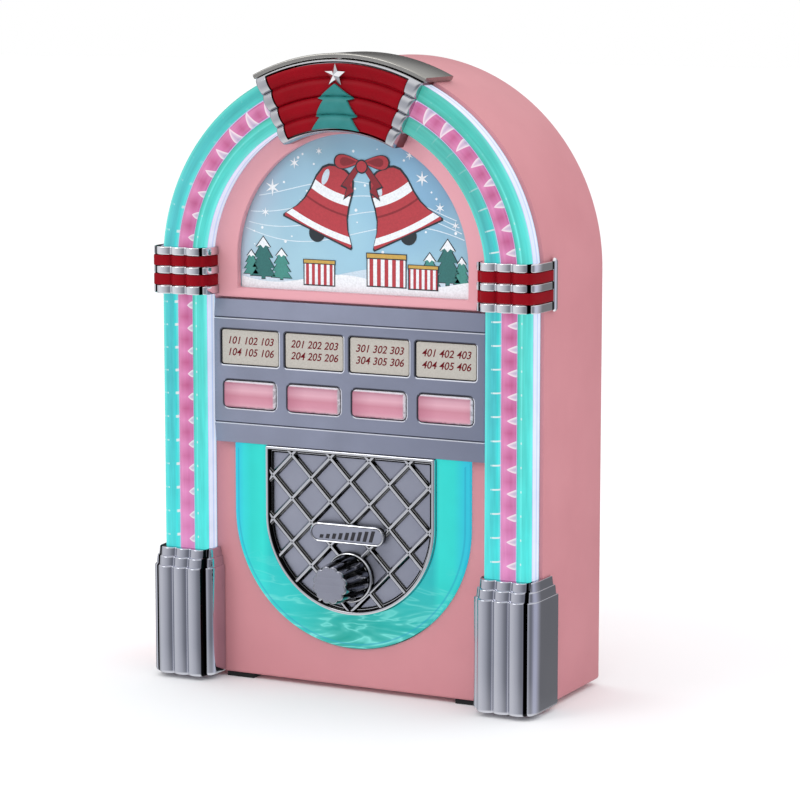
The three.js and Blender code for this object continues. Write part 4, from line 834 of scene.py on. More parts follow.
def rib_marks(skin, inner, outer, place):
    """For every point of a rib: its share of the way from its left edge to its right edge, the length
    along the arch, the count of glints so far, the height of a flame there, measured in glints, and
    which side it is on. A flame's half height is a power of its share of the way from its tip, and the
    arch's share goes from 0 at the centre's height to 1 at the crown."""
    x, z = skin.points[:, 0], skin.points[:, 2]
    turn = np.arctan2(np.maximum(z - spring, 0), np.abs(x))
    radius = np.where(z > spring, np.hypot(x, z - spring), np.abs(x))
    share = np.clip((radius - inner) / (outer - inner), 0, 1)
    middle = (tube_inner + tube_outer) / 2
    from_foot = np.minimum(z, spring) - leg_bottom + turn * middle
    left = x < 0
    total = 2 * (spring - leg_bottom) + np.pi * middle
    rightward = np.where(left, 1 - share, share)
    reach = np.where(left, np.interp(from_foot, *zip(*left_reach)),
                     np.interp(from_foot, *zip(*right_reach)))
    height = np.interp(reach, [0.5, 1.0], [1.5, 2.0]) / glint_step
    tip = (rightward - 1 + reach) / reach
    return {
        "rightward": rightward,
        "along": np.where(left, from_foot, total - from_foot),
        "cell": np.where(left, np.interp(from_foot, *zip(*left_glints)),
                         np.interp(from_foot, *zip(*right_glints))) + 20,
        "flare": np.where(tip > 0, np.abs(tip) ** 0.8 * height, tip * height),
        "left_rib": np.where(left, place == 2, place == 0).astype(float),
        "left_leg": left.astype(float),
        "arch_part": np.clip((z - spring) / 65, 0, 1),
    }


for place, (name, material, slot) in enumerate([
        ("inner", acrylic_teal, "teal_plastic"), ("middle", acrylic_pink, "pink_plastic"),
        ("outer", acrylic_teal, "teal_plastic")]):
    inner = tube_inner + place * rib_pitch + (gap / 2 if place else 0)
    outer = tube_inner + (place + 1) * rib_pitch - (gap / 2 if place < 2 else 0)
    rib = sweep(half_ribs(inner, outer, 1, rib_valley, rib_rise, 18), angle, drops)
    make_piece(f"lit_rib_{name}", rib, material, slot=slot, stands_for=[f"arch_rib_{name}"],
               marks=rib_marks(rib, inner, outer, place), crease=60)

# The channel's section: a floor between two outer walls, and a web behind each seam of the ribs
wall_end = rib_valley + gap
tube_wall, web_half = 1.2, 0.4
floor = channel_back - 0.8
section = [[tube_inner, channel_back], [tube_inner, wall_end], [tube_inner + tube_wall, wall_end],
           [tube_inner + tube_wall, floor]]
for k in (1, 2):
    web = tube_inner + k * rib_pitch
    section += [[web - web_half, floor], [web - web_half, wall_end], [web + web_half, wall_end],
                [web + web_half, floor]]
section += [[tube_outer - tube_wall, floor], [tube_outer - tube_wall, wall_end],
            [tube_outer, wall_end], [tube_outer, channel_back]]
channel = sweep(np.array(section), angle, drops)
make_piece("lit_channel", channel, acrylic_clear, slot="clear_plastic", stands_for=["light_channel"],
           marks=rib_marks(channel, tube_inner, tube_outer, 1))

# Chrome clasps round the legs of the arch
base_floor = solid_box("base_right")[0][2]
cuff_low, cuff_high = solid_box("cuff_right")
pocket_in, pocket_out = tube_inner - gap, tube_outer + gap
cabinet_clear = cabinet_half + gap


def column(front, side, steps=12):
    """A quarter ellipse in plan from a front point round to a side point."""
    turn = np.linspace(0, np.pi / 2, steps + 1)
    return np.column_stack([front[0] + (side[0] - front[0]) * np.sin(turn),
                            side[1] + (front[1] - side[1]) * np.cos(turn)])


def clasp_front(inner, outer, valley, rise, slot, inner_set):
    """Plan of a clasp's outside, [x, y]: a quarter ellipse for the inner column, a slot, three ribs over
    the valley line, a slot and a quarter ellipse for the outer column."""
    ribs = half_ribs(tube_inner, tube_outer, 3, valley, rise, 12, 0.3)
    left = column((tube_inner - 0.7, valley + inner_set), (inner, valley + 4.6))[::-1]
    right = column((tube_outer + 1, valley + 0.2), (outer, valley + 6))
    floor = valley + slot
    return np.vstack([left, [[tube_inner - 0.7, floor], [tube_inner, floor]], ribs[1:-1],
                      [[tube_outer, floor], [tube_outer + 0.8, floor]], right])


def clasp_back(inner, outer, inner_back, back_edge):
    """Plan of a clasp's rest: the cheek beside the cabinet, the pocket for the arch, the inner wall."""
    cheek = max(outer, cabinet_clear + 0.05)
    return np.array([
        [cheek, channel_back], [cheek, back_edge - 1.6], [cheek, back_edge - 1.5], [cheek, back_edge],
        [cabinet_clear, back_edge], [cabinet_clear, channel_back + 0.05], [pocket_out, channel_back],
        [pocket_out, pocket_front], [pocket_in, pocket_front], [pocket_in, inner_back],
        [inner, inner_back]])


def mirror(skin):
    """The same piece on the other side of the object."""
    other = Skin()
    other.points = skin.points * [-1, 1, 1]
    other.faces = skin.faces
    return other


def both_sides(name, skin, material, slot, node, **how):
    """A piece on the right and its mirror image on the left."""
    for side, made in (("right", skin), ("left", mirror(skin))):
        make_piece(name.format(side), made, material, slot=slot, stands_for=[node.format(side)], **how)


# Bases of three tiers: how far the lowest stands out on each side, and how far each next one steps in
base_lap, base_proud, base_skin, base_reach = 3.2, 2.2, 3.5, 8.6
inner_step, outer_step, front_step, back_step = 0.8, 0.7, 1.25, 1.1
base_tops = [leg_bottom + 4.5 - drop for drop in (6.6, 3.2, 0)]
foot_edge, tier_edge, tier_foot = 1.3, 0.45, 0.35


def base_plan(step, inset=0.0):
    """A clasp's plan, smaller by the inset and by the steps of its tier."""
    inner = tube_inner - base_lap + inner_step * step + inset
    outer = cabinet_half + base_proud - outer_step * step - inset
    valley = pocket_front - base_skin + front_step * step + inset
    back_edge = cabinet_front + base_reach - back_step * step
    front = clasp_front(inner, outer, valley, 2.0, 3.2, 1.8)
    return np.vstack([front, clasp_back(inner, outer, channel_back, back_edge)])


def slot_shade(skin):
    """True in the slots beside the ribs, where painted shade goes."""
    across, y = np.abs(skin.points[:, 0]), skin.points[:, 1]
    beside = (across < tube_inner + 0.15) | (across > tube_outer - 0.15)
    near = (across > tube_inner - 0.75) & (across < tube_outer + 0.9)
    pocket = np.isclose(across, pocket_in) | np.isclose(across, pocket_out)
    return beside & near & ~pocket & (y < channel_back - 1.5)


levels = [(base_plan(0, inset), base_floor + setback) for inset, setback in rounding(foot_edge)[::-1]]
for step, top in enumerate(base_tops):
    if step:
        levels += [(base_plan(step, inset - tier_foot), base_tops[step - 1] + tier_foot - setback)
                   for inset, setback in rounding(tier_foot, 3)[::-1]]
    levels += [(base_plan(step, inset), top - setback) for inset, setback in rounding(tier_edge)]
base = stack(levels)
# Painted shade in the slots beside the ribs
both_sides("base_{}_plated", base, shaded_chrome, "plated_chrome", "base_{}",
           marks={"painted_light_and_print": slot_shade(base).astype(float)})

# Cuffs: three rings of chrome with a groove for a red band between them
cuff_lap, cuff_proud, cuff_rise, groove_inset = 2.7, 1.5, 1.9, 1.4
cuff_back_edge = cabinet_front + 8
cuff_inner_back = frame_front - gap
cuff_valley = pocket_front - 2.2
cheek_end = cuff_back_edge - 3.4
bands = [(3, 7.3), (10, 14.1)]


def cuff_plan(inset):
    """A clasp's plan, smaller by the inset."""
    inner, outer = tube_inner - cuff_lap + inset, cabinet_half + cuff_proud - inset
    front = clasp_front(inner, outer, cuff_valley + inset, cuff_rise, 2.4, 0.1)
    return np.vstack([front, clasp_back(inner, outer, cuff_inner_back, cheek_end)])


edges = cuff_low[2] + np.array([0, *bands[0], *bands[1], cuff_high[2] - cuff_low[2]])
levels = []
for k in (0, 2, 4):
    levels += rising(cuff_plan, edges[k], edges[k + 1], 0.35)
    levels += [(cuff_plan(groove_inset), height) for height in edges[k + 1:k + 3] if k < 4]
cuff = stack(levels)

# The cuff ends in an upright bead beside the cabinet, round at both ends
bead_y, bead_across, bead_deep, bead_end = cuff_back_edge - 1.6, 0.9, 1.6, 1.5
bead_low, bead_high = cuff_low[2] - 0.9, cuff_high[2] + 1.1
bead_turn = once_round(24)


def bead_plan(size):
    """A flat ellipse in plan, its outer face turned a little to the front."""
    x = cabinet_half + 0.4 + size * (0.55 + 1.0 * np.cos(bead_turn)) * bead_across
    return np.column_stack([np.maximum(x, cabinet_clear), bead_y + size * np.sin(bead_turn) * bead_deep])


turns = np.linspace(0.12, 1, 7) * np.pi / 2
foot = [(bead_plan(math.sin(t)), bead_low + bead_end * (1 - math.cos(t))) for t in turns]
stack(foot + [(plan, bead_low + bead_high - height) for plan, height in foot[::-1]], cuff)
# Painted shade in its slots and in the gap before the bead, and a lighter painted shade where the inner wall
# meets the frame
by_bead = (cuff.points[:, 1] > cheek_end - 1.55) & (cuff.points[:, 1] < cheek_end + 0.1)
by_frame = (cuff.points[:, 0] < tube_inner - 0.6) & (np.abs(cuff.points[:, 1] - cuff_inner_back) < 0.01)
both_sides("cuff_{}_plated", cuff, chrome, "plated_chrome", "cuff_{}",
           marks={"painted_light_and_print": np.maximum(slot_shade(cuff) | by_bead, 0.6 * by_frame)})


def band_plan(inset):
    """A strip round the clasp, without its slots: its outside, then back along its inside."""
    def line(depth):
        """Two ribs, then one that runs level into the outer column."""
        inner, valley = tube_inner - cuff_lap + depth, cuff_valley + depth
        outer = max(cabinet_half + cuff_proud - depth, cabinet_clear + 0.1)
        turn = np.linspace(0, np.pi, 13)
        lobes = [np.column_stack([
            tube_inner + rib_pitch * (k + (1 - np.cos(turn)) / 2),
            valley - cuff_rise * np.maximum(np.sin(turn), 0.3)]) for k in range(3)]
        left = column((tube_inner - 0.3, valley - 0.3), (inner, valley + 4.8))[::-1]
        right = column((tube_outer, valley - 1.5), (outer, valley + 5.4))
        return np.vstack([[[inner, cuff_inner_back - 0.05]], left, *lobes[:2],
                          lobes[2][:8], right, [[outer, cheek_end + 0.1]]])
    return np.vstack([line(0.3 + inset), line(1.05)[::-1]])


for low_edge, top_edge, level in ((edges[1], edges[2], "lower"), (edges[3], edges[4], "upper")):
    band = stack(rising(band_plan, low_edge + gap / 2, top_edge - gap / 2, 0.3))
    both_sides("cuff_{}_band_" + level, band, red_lacquer, "red_enamel", "cuff_band_{}_" + level)

# Crown over the top of the arch: half angles in degrees to both sides of the top
crown_inner = tube_inner - 5.9
crown_valley = pocket_front - 1.2
crown_rise, crown_ribs = 1.9, 4
crown_half, inlay_half = 26.0, 22.4
inlay_margin = 1.1
inlay_inner, inlay_outer = crown_inner + inlay_margin, cabinet_half - inlay_margin


def crown_front(radius):
    """How far forward the crown's four ribs stand at a distance from the arch's centre: half circles
    over the valley, stretched to the ribs' rise."""
    share = np.clip((radius - crown_inner) / (cabinet_half - crown_inner), 0, 1) * crown_ribs
    bulge = np.sqrt(np.clip(1 - (2 * (share % 1) - 1) ** 2, 0, 1))
    return crown_valley - crown_rise * bulge


crown_section = half_ribs(crown_inner, cabinet_half, crown_ribs, crown_valley, crown_rise)
crown_rest = np.array([
    [cabinet_half, channel_back], [pocket_out, channel_back], [pocket_out, pocket_front],
    [pocket_in, pocket_front], [pocket_in, frame_front - gap], [crown_inner, frame_front - gap]])
recess_floor = pocket_front - 0.4


def crown_cut(inset, recessed):
    """The frame's section, its front set back by the inset, and sunk under the inlay."""
    front = crown_section + [0, inset]
    if recessed:
        inside = (front[:, 0] > inlay_inner) & (front[:, 0] < inlay_outer)
        front[:, 1] = np.where(inside, recess_floor, front[:, 1])
    return np.vstack([front, crown_rest])


ends = [(crown_half - setback / cabinet_half * 57.3, crown_cut(inset, False))
        for inset, setback in rounding(1.4, 8)[::-1]]
ends.append((inlay_half + 0.02, crown_cut(0, False)))
ends += [(turn, crown_cut(0, True)) for turn in np.linspace(inlay_half, 0, 20)]
turns = np.array([turn for turn, _ in ends] + [-turn for turn, _ in ends[-2::-1]])
cuts = np.array([cut for _, cut in ends + ends[-2::-1]])
crown = sweep(cuts, np.radians(90 + turns), np.zeros(len(turns)))
# Marked behind the ribs' front: the flanks, where the red plastic shows under painted shade
behind = np.clip((crown.points[:, 1] - crown_valley - 0.6) / 0.8, 0, 1)
make_piece("crown_frame_plated", crown, crown_chrome, slot="plated_chrome", stands_for=["crown_frame"],
           marks={"painted_light_and_print": behind})


def rolled(rim, edge, drop):
    """How far a face lies back near its rim: a quarter circle over the edge's width, stretched to the
    drop."""
    return drop * (1 - np.sqrt(1 - (1 - np.clip(rim / edge, 0, 1)) ** 2))


def relief(across, up, front, back):
    """A sheet with a front and a back: grids of x and z, and the y of both faces, joined at the rim."""
    skin = Skin()
    rows, columns = across.shape
    faces = []
    for y in (front, back):
        first = len(skin.points)
        sheet = np.stack([across, y, up], -1).reshape(-1, 3)
        skin.points = np.vstack([skin.points, sheet])
        number = first + np.arange(rows * columns).reshape(rows, columns)
        faces.append(number)
        quads = np.stack([number[:-1, :-1], number[:-1, 1:], number[1:, 1:], number[1:, :-1]], -1)
        skin.faces += quads.reshape(-1, 4).tolist()
    rims = [np.concatenate([n[0, :], n[1:, -1], n[-1, -2::-1], n[-2:0:-1, 0]]) for n in faces]
    skin.wall(*rims)
    return skin


# Red inlay in polar rows: its front follows the ribs and turns down at its rim
inlay_turn = inlay_half - 0.35
turn_grid, radius_grid = np.meshgrid(
    np.linspace(-1, 1, 61), np.linspace(inlay_inner + gap, inlay_outer - gap, 113))
from_end = (1 - np.abs(turn_grid)) * np.radians(inlay_turn) * radius_grid
from_rim = np.minimum(radius_grid - inlay_inner - gap, inlay_outer - gap - radius_grid)
sink = rolled(np.minimum(from_end, from_rim), 0.45, 0.2)
turn = np.radians(90 - turn_grid * inlay_turn)
inlay = relief(radius_grid * np.cos(turn), spring + radius_grid * np.sin(turn),
               crown_front(radius_grid) + 0.15 + sink, np.full_like(turn, recess_floor - gap))
make_piece("crown_inlay_red", inlay, red_lacquer, slot="red_enamel", stands_for=["crown_inlay"])

# Tree on the inlay: its half width at each height, its foot along the inlay's lower rim and its front a
# little proud of the ribs
tree_tip = shell_high[2] - 8.5
tree_tall = 16.6
tree_wide = 9.5
tiers = [(0, 0.02), (0.31, 0.75), (0.34, 0.5), (0.69, 0.85), (0.71, 0.66), (1, 1)]
down = np.unique(np.concatenate([np.linspace(0, 1, 90), [place for place, _ in tiers]]))
half_at = np.interp(down, *zip(*tiers)) * tree_wide
side, height = np.meshgrid(np.linspace(-1, 1, 41), tree_tip - down * tree_tall)
across = side * half_at[:, None]
foot_radius = inlay_inner + 0.35
height = np.where(np.hypot(across, height - spring) < foot_radius,
                  spring + np.sqrt(foot_radius ** 2 - across ** 2), height)
ribs = crown_front(np.hypot(across, height - spring))
sink = rolled((1 - np.abs(side)) * half_at[:, None], 0.3, 0.3)
tree_relief = relief(across, height, ribs - 0.95 + sink, ribs + 0.05)
make_piece("crown_tree_teal", tree_relief, teal_lacquer, slot="teal_enamel", stands_for=["crown_tree"])

# Plate on top of the crown, its long edges rounded
plate_low, plate_high = solid_box("crown_plate")
plate_in, plate_out = cabinet_clear, plate_high[2] - spring
plate_front, plate_back = plate_low[1] + 2, plate_high[1]
plate_section = rounded_outline((plate_in + plate_out) / 2, (plate_front + plate_back) / 2,
                                plate_out - plate_in, plate_back - plate_front, 0.5, 4)
plate_half, plate_steps = 26.4, 61
turns = np.radians(90 + np.linspace(plate_half, -plate_half, plate_steps))
make_piece("crown_plate_plated", sweep(plate_section, turns, np.zeros(plate_steps)), grey_plating,
           slot="grey_chrome", stands_for=["crown_plate"])

# Selector panel: two sloping strips, four openings for cards and four for buttons
card_low, card_high = solid_box("label_card_1")
slot_side, slot_count = 1.8, 4
slot_pitch = 2 * (selector_half - slot_side) / slot_count
slot_centres = slot_pitch * (np.arange(slot_count) - 1.5)
card_wide, card_tall = card_high[0] - card_low[0], card_high[2] - card_low[2]
card_height = (card_low[2] + card_high[2]) / 2
card_sink = 0.12
button_wide, button_tall = slot_pitch - 5.05, 9.7
button_height = (button_low[2] + button_high[2]) / 2
lower_strip, upper_strip = selector_bottom + 7.5, selector_top - 6.6
strip_front = selector_front + 0.9
groove_half, groove_deep, groove_slope = 0.38, 0.35, 0.25
slot_grow = 0.6


def selector_loop(skin, inset, setback):
    """The panel's rim from bottom right up and from top left down, with both grooves across it. Each
    groove's floor has painted shade, and its lower lip a painted highlight."""
    rows = [(selector_bottom + inset, strip_front, 0)]
    for line in (lower_strip, upper_strip):
        rows += [(line - groove_half - groove_slope, selector_front, 0),
                 (line - groove_half, selector_front, -1),
                 (line, selector_front + groove_deep, 1), (line + groove_half, selector_front, 0)]
    rows.append((selector_top - inset, strip_front, 0))
    heights, fronts, shades = np.array(rows).T
    right = np.column_stack([np.full(10, selector_half - inset), fronts + setback, heights])
    return skin.loop(np.vstack([right, right[::-1] * [-1, 1, 1]]), shade=np.append(shades, shades[::-1]))


selector = Skin()
loops = [selector_loop(selector, inset, setback) for inset, setback in rounding(0.4, 4)]
back = selector.loop(selector.points[loops[0]] * [1, 0, 1] + [0, selector_back, 0])
selector.walls([back] + loops)
openings = [(x, height, wide + slot_grow, tall + slot_grow, radius)
            for height, wide, tall, radius in ((card_height, card_wide, card_tall, 1.0),
                                               (button_height, button_wide, button_tall, 1.9))
            for x in slot_centres]
# Each opening has painted shade on its walls inside, and a rounded rim with a painted highlight at its right
# and its foot and painted shade at its left and its top
fronts, backs = [], []
for x, z, wide, tall, radius in openings:
    rings = [selector.loop(rounded_outline(x, z, wide, tall, radius), selector_back, 1.0)]
    edges = rounding(0.35, 4) + [(0.6, 0.0)]
    for (inset, setback), dark, side in zip(edges, (1, 0.8, 0.2, 0, 0, 0), (0, 0, 0.6, 1, 1, 0)):
        line = rounded_outline(x, z, wide + 2 * inset, tall + 2 * inset, radius + inset)
        low_right = (np.sign(line[:, 0] - x) * (np.abs(line[:, 0] - x) > wide / 2 - 0.2)
                     - np.sign(line[:, 1] - z) * (np.abs(line[:, 1] - z) > tall / 2 - 0.2)) * side
        shade = dark - 0.9 * np.clip(low_right, 0, 1) + 0.8 * np.clip(-low_right, 0, 1)
        rings.append(selector.loop(line, selector_front + setback, shade))
    selector.walls(rings)
    fronts.append(rings[-1])
    backs.append(rings[0])
# The face is filled strip by strip, the widest with the openings
rim, middle_strip = loops[-1], 4
for k in range(len(rim) // 2 - 1):
    row = rim[[len(rim) - 1 - k, k, k + 1, len(rim) - 2 - k]]
    selector.fill(row, *(fronts if k == middle_strip else ()))
selector.fill(back, *backs)
make_piece("selector_face", selector, satin_silver, slot="satin_plate", stands_for=["selector_panel"],
           crease=12)


def printed(name, words, material, x, z, size, front, slot, slant=0.25, thick=0.05):
    """Lines of plain type that stand half their thickness proud of a front y, as a mesh whose points
    are turned from lying to standing: across stays x, up becomes z and out becomes forward."""
    curve = bpy.data.curves.new(name, "FONT")
    curve.body, curve.size = words, size
    curve.align_x, curve.align_y = "CENTER", "CENTER"
    curve.shear, curve.offset, curve.extrude = slant, 0.012 * size, thick / 2
    curve.space_line = 1.12
    lying = bpy.data.objects.new(name + "_type", curve)
    bpy.context.scene.collection.objects.link(lying)
    solid = lying.evaluated_get(bpy.context.evaluated_depsgraph_get()).to_mesh()
    points = np.empty(len(solid.vertices) * 3)
    solid.vertices.foreach_get("co", points)
    across, up, out = points.reshape(-1, 3).T
    skin = Skin()
    skin.points = np.column_stack([x + across, front - out, z + up])
    skin.faces = [tuple(face.vertices) for face in solid.polygons]
    bpy.data.objects.remove(lying)
    make_piece(name, skin, material, slot=slot)


card_front = card_low[1] + card_sink
for k, x in enumerate(slot_centres):
    card = plate(lambda inset, x=x: rounded_outline(x, card_height, card_wide - 2 * inset,
                                                    card_tall - 2 * inset, 0.8 - inset),
                 slab_layers(card_high[1], card_front, 0.12))
    make_piece(f"card_{k + 1}", card, cream_card, slot="card", stands_for=[f"label_card_{k + 1}"])
    lines = [" ".join(str(100 * (k + 1) + n) for n in row) for row in ((1, 2, 3), (4, 5, 6))]
    printed(f"card_{k + 1}_numbers", "\n".join(lines), red_ink, x, card_height + 0.2, 3.8, card_front,
            "card")

button_flange, button_corner, face_rings = 1.2, 1.6, 8


def button_skin(x):
    """A cap with a softly domed face over a flange behind the panel: rounded rectangles set in step by
    step, then the last one shrunk towards its middle in even rings."""
    front = button_low[1]
    skin = Skin()
    flange = rounded_outline(x, button_height, button_wide + 2 * button_flange,
                             button_tall + 2 * button_flange, button_corner)
    loops = [skin.loop(flange, button_high[1]), skin.loop(flange, cabinet_front)]
    cap = [(0, cabinet_front - 0.001)] + [(i, front + 0.25 + s) for i, s in rounding(0.9, 5)]
    cap += [(1.6, front + 0.12), (2.6, front + 0.02), (3.6, front)]
    for inset, y in cap:
        loops.append(skin.loop(rounded_outline(
            x, button_height, button_wide - 2 * inset, button_tall - 2 * inset,
            max(button_corner - inset, 0.4)), y))
    skin.walls(loops)
    skin.fill(loops[0])
    middle = np.array([x, front, button_height])
    for ring in range(1, face_rings):
        squeeze = 1 - 1 / (face_rings + 1 - ring)
        loops.append(skin.loop(middle + (skin.points[loops[-1]] - middle) * squeeze))
        skin.walls(loops[-2:])
    skin.fill(loops[-1])
    return skin


def button_marks(skin, x):
    """Where each point lies on the cap: from left to right, from bottom to top, and on its clear rim."""
    sideways = (skin.points[:, 0] - x) / (button_wide / 2)
    upward = (skin.points[:, 2] - button_height) / (button_tall / 2)
    depth = np.minimum((1 - np.abs(sideways)) * button_wide, (1 - np.abs(upward)) * button_tall) / 2
    return {"sideways": sideways, "upward": upward, "rim": np.clip((0.75 - depth) / 0.3, 0, 1)}


for k, x in enumerate(slot_centres):
    cap = button_skin(x)
    make_piece(f"button_{k + 1}_cap", cap, button_pink, body=f"button_{k + 1}", slot="button_plastic",
               stands_for=[f"button_{k + 1}"], marks=button_marks(cap, x))


# Light band, grille plate and lattice
def band_outline(inset):
    """The outline of the U: down its outside, then back up its inside."""
    outside = shield_outline(light_half - inset, grille_top - inset, light_centre)
    inside = shield_outline(grille_half + gap + inset, grille_top - inset, grille_centre)
    return np.vstack([outside, inside[::-1]])


# Layers of [inset, y, shade]: the bevel round its outside carries a painted line of deeper blue shade
light = Skin()
layers = [(0, panel_back, 0), (0, light_front + 0.7, 0.3), (0.25, light_front + 0.35, 0),
          (1.2, light_front + 0.15, 0), (1.45, light_front + 0.1, 1), (1.75, light_front + 0.05, 0.9),
          (2.1, light_front, 0)]
loops = []
for inset, y, shade in layers:
    line = band_outline(inset)
    outer_half = (np.arange(len(line)) < len(line) / 2) & (line[:, 1] < grille_top - inset - 0.3)
    loops.append(light.loop(line, y, shade * outer_half))
light.walls(loops)
light.fill(loops[0])
light.fill(loops[-1])
make_piece("light_band_lit", light, acrylic_band, slot="teal_plastic", stands_for=["light_band"])


def grille_outline(inset):
    """The shield of the grille, set in by the inset."""
    return shield_outline(grille_half - inset, grille_top - inset, grille_centre)


grille = plate(grille_outline, slab_layers(panel_back, lattice_back + gap, 0.15))
make_piece("grille_sheet", grille, grille_silver, slot="satin_plate", stands_for=["grille_plate"])

knob_low, knob_high = solid_box("volume_knob")
knob_z = (knob_low[2] + knob_high[2]) / 2
collar_radius, collar_bore = 9.3, 5.1
rim_wide, bar_wide, bar_thick = 1.4, 2.4, 1.1
lattice = Skin()
# The rim is a half round; its inner side and the channel inside it are painted black as shade, but for a
# fine bright line that runs along the channel
rim_turn = np.linspace(0, np.pi, 9)
rim_profile = [(rim_wide / 2 * (1 - math.cos(t)), rim_front + 0.5 * (1 - math.sin(t)),
                0.0 if t < 2.2 else 1.0) for t in rim_turn]
channel_line = [(rim_wide, lattice_back - 0.15, 1.0), (rim_wide + 0.35, lattice_back - 0.1, 1.0),
                (rim_wide + 0.42, lattice_back - 0.3, 0.0), (rim_wide + 0.58, lattice_back - 0.3, 0.0),
                (rim_wide + 0.65, lattice_back - 0.1, 1.0), (rim_wide + 1.1, lattice_back - 0.1, 1.0),
                (rim_wide + 1.1, lattice_back, 1.0)]
around(grille_outline, [(0, lattice_back, 0.5)] + rim_profile + channel_line, skin=lattice)


def field_ends(lean, offset):
    """Where a bar's middle line through (0, offset) is inside the rim and outside the ring: pairs of
    distances along it, found on a fine row of points."""
    half, top = grille_half - rim_wide / 2, grille_top - rim_wide / 2
    along = np.linspace(-120, 120, 9601)
    x, z = along * math.cos(lean), offset + along * math.sin(lean)
    inside = (np.abs(x) < half) & (z < top) & ((z > grille_centre) | (np.hypot(x, z - grille_centre) < half))
    inside &= np.hypot(x, z - knob_z) > collar_radius - 0.5
    edges = np.flatnonzero(np.diff(inside.astype(int)))
    return [(along[a + 1], along[b]) for a, b in zip(edges[::2], edges[1::2])]


# A bar's section, [across, y] from one foot over the crest to the other. Its flank away from the light
# is nearly black, with a fine bright line, on the bars that fall to the right, and grey on the others
bar_side = np.array([(bar_wide / 2, 0), (0.9, 0.3 * bar_thick), (0.84, 0.36 * bar_thick),
                     (0.78, 0.42 * bar_thick), (0.46, 0.88 * bar_thick), (0.4, 0.95 * bar_thick),
                     (0.25, bar_thick)])
bar_section = np.vstack([bar_side * [1, -1], bar_side[::-1] * [-1, -1]]) + [0, lattice_back]
bar_shades = {1: np.array([0.6, 0.2, 0.1, 0.2, 0.15, 0, 0, 0, 0.1, 0.65, 0.75, 0.5, 0.85, 0.97]),
              -1: np.array([0.95, 1, 0.35, 1, 1, 0.1, 0, 0, 0.0, 0.2, 0.25, 0.2, 0.4, 0.8])}
cell_high, cell_wide, first_crossing, shortest_bar = 16, 15.75, grille_centre + 14.4, 1.5
slope = math.atan2(cell_high, cell_wide)
for k in range(-7, 8):
    for lean in (slope, -slope):
        for ends in field_ends(lean, first_crossing + cell_high * k):
            if ends[1] - ends[0] < shortest_bar:
                continue
            loops = []
            for reach in ends:
                x = reach * math.cos(lean) - bar_section[:, 0] * math.sin(lean)
                z = (first_crossing + cell_high * k + reach * math.sin(lean)
                     + bar_section[:, 0] * math.cos(lean))
                loops.append(lattice.loop(np.column_stack([x, bar_section[:, 1], z]),
                                          shade=bar_shades[1 if lean > 0 else -1]))
            lattice.walls(loops)
            for loop in loops:
                lattice.fill(loop, flat=bar_section)


def circle_outline(x, z, radius, steps=96):
    """A circle as a closed outline, clockwise from its right."""
    return arc((x, z), radius, 360, 360 / steps, steps - 1)


# The ring round the knob's foot, [inset, y, shade]: a bright round rim, a groove painted dark as shade, a
# fine bright line, and painted shade on its walls and inner face
collar_front = lattice_back - 1.9
collar = [(0, lattice_back, 1), (0, collar_front + 0.8, 1), (0.15, collar_front + 0.35, 0.3),
          (0.35, collar_front + 0.1, 0), (0.6, collar_front, 0), (0.85, collar_front + 0.15, 0.1),
          (1.0, collar_front + 0.4, 1), (1.6, collar_front + 0.5, 1), (1.75, collar_front + 0.35, 0),
          (2.0, collar_front + 0.35, 0), (2.15, collar_front + 0.5, 1),
          (collar_radius - collar_bore, collar_front + 0.6, 1),
          (collar_radius - collar_bore, lattice_back, 1)]
around(lambda inset: circle_outline(0, knob_z, collar_radius - inset), collar, skin=lattice)
make_piece("grille_lattice_plated", lattice, lattice_chrome, slot="plated_chrome",
           stands_for=["grille_lattice"])

badge_low, badge_high = solid_box("volume_badge")
badge_z = (badge_low[2] + badge_high[2]) / 2
badge_half, badge_radius = badge_high[0], (badge_high[2] - badge_low[2]) / 2


def badge_outline(inset):
    """A flat pill: a rectangle whose ends are half circles."""
    return rounded_outline(0, badge_z, 2 * (badge_half - inset), 2 * (badge_radius - inset),
                           badge_radius - inset - 0.01, 12)


badge_front, badge_back, badge_rim = badge_low[1], badge_high[1], 0.7
# Layers of [inset, y, shade]: the rim's walls are painted dark as shade, and its rounded front is left
# bright
badge_edge = [(0, badge_back, 1), (0, badge_front + 0.5, 0.8), (0.12, badge_front + 0.15, 0),
              (0.35, badge_front, 0), (0.55, badge_front + 0.1, 0.2), (badge_rim, badge_front + 0.4, 1),
              (badge_rim, badge_back, 1)]
make_piece("badge_rim_plated", around(badge_outline, badge_edge), lattice_chrome, slot="plated_chrome")
badge_face = badge_front + 0.35
pill = plate(lambda inset: badge_outline(badge_rim + inset), slab_layers(badge_back, badge_face, 0.1))
make_piece("badge_pill", pill, grille_silver, slot="satin_plate", stands_for=["volume_badge"])

# A row of slanting bars that rise to the right, as beside a volume control
level = Skin()
level_foot, level_half = badge_z - 2.1, 0.72
for k in range(9):
    x, tall = 2.5 * (k - 4) - 0.5, 1.3 + 0.36 * k
    bar = np.array([[x - level_half, level_foot], [x + level_half, level_foot],
                    [x + level_half + 0.3 * tall, level_foot + tall],
                    [x - level_half + 0.3 * tall, level_foot + tall]])
    plate(lambda inset, bar=bar: bar, [(0, badge_face + 0.05), (0, badge_face - 0.03)], skin=level)
make_piece("badge_level_bars", level, dark_print_and_shade, slot="satin_plate")

# Volume knob with twelve lobes, its barrel painted dark as shade between their crests, which stay bright,
# and a satin disc on its face
lobes, lobe_steps, lobe_deep = 12, 14, 0.75


def lobed(radius):
    """A circle with round lobes as [x, z], and how near to a crest each point is: a power of a sine, and
    the radius falls by the lobes' depth where it is 0."""
    turn = once_round(lobes * lobe_steps)
    crest = np.abs(np.sin(lobes / 2 * turn)) ** 0.8
    reach = radius - lobe_deep * (1 - crest)
    return np.column_stack([reach * np.cos(turn), knob_z + reach * np.sin(turn)]), crest


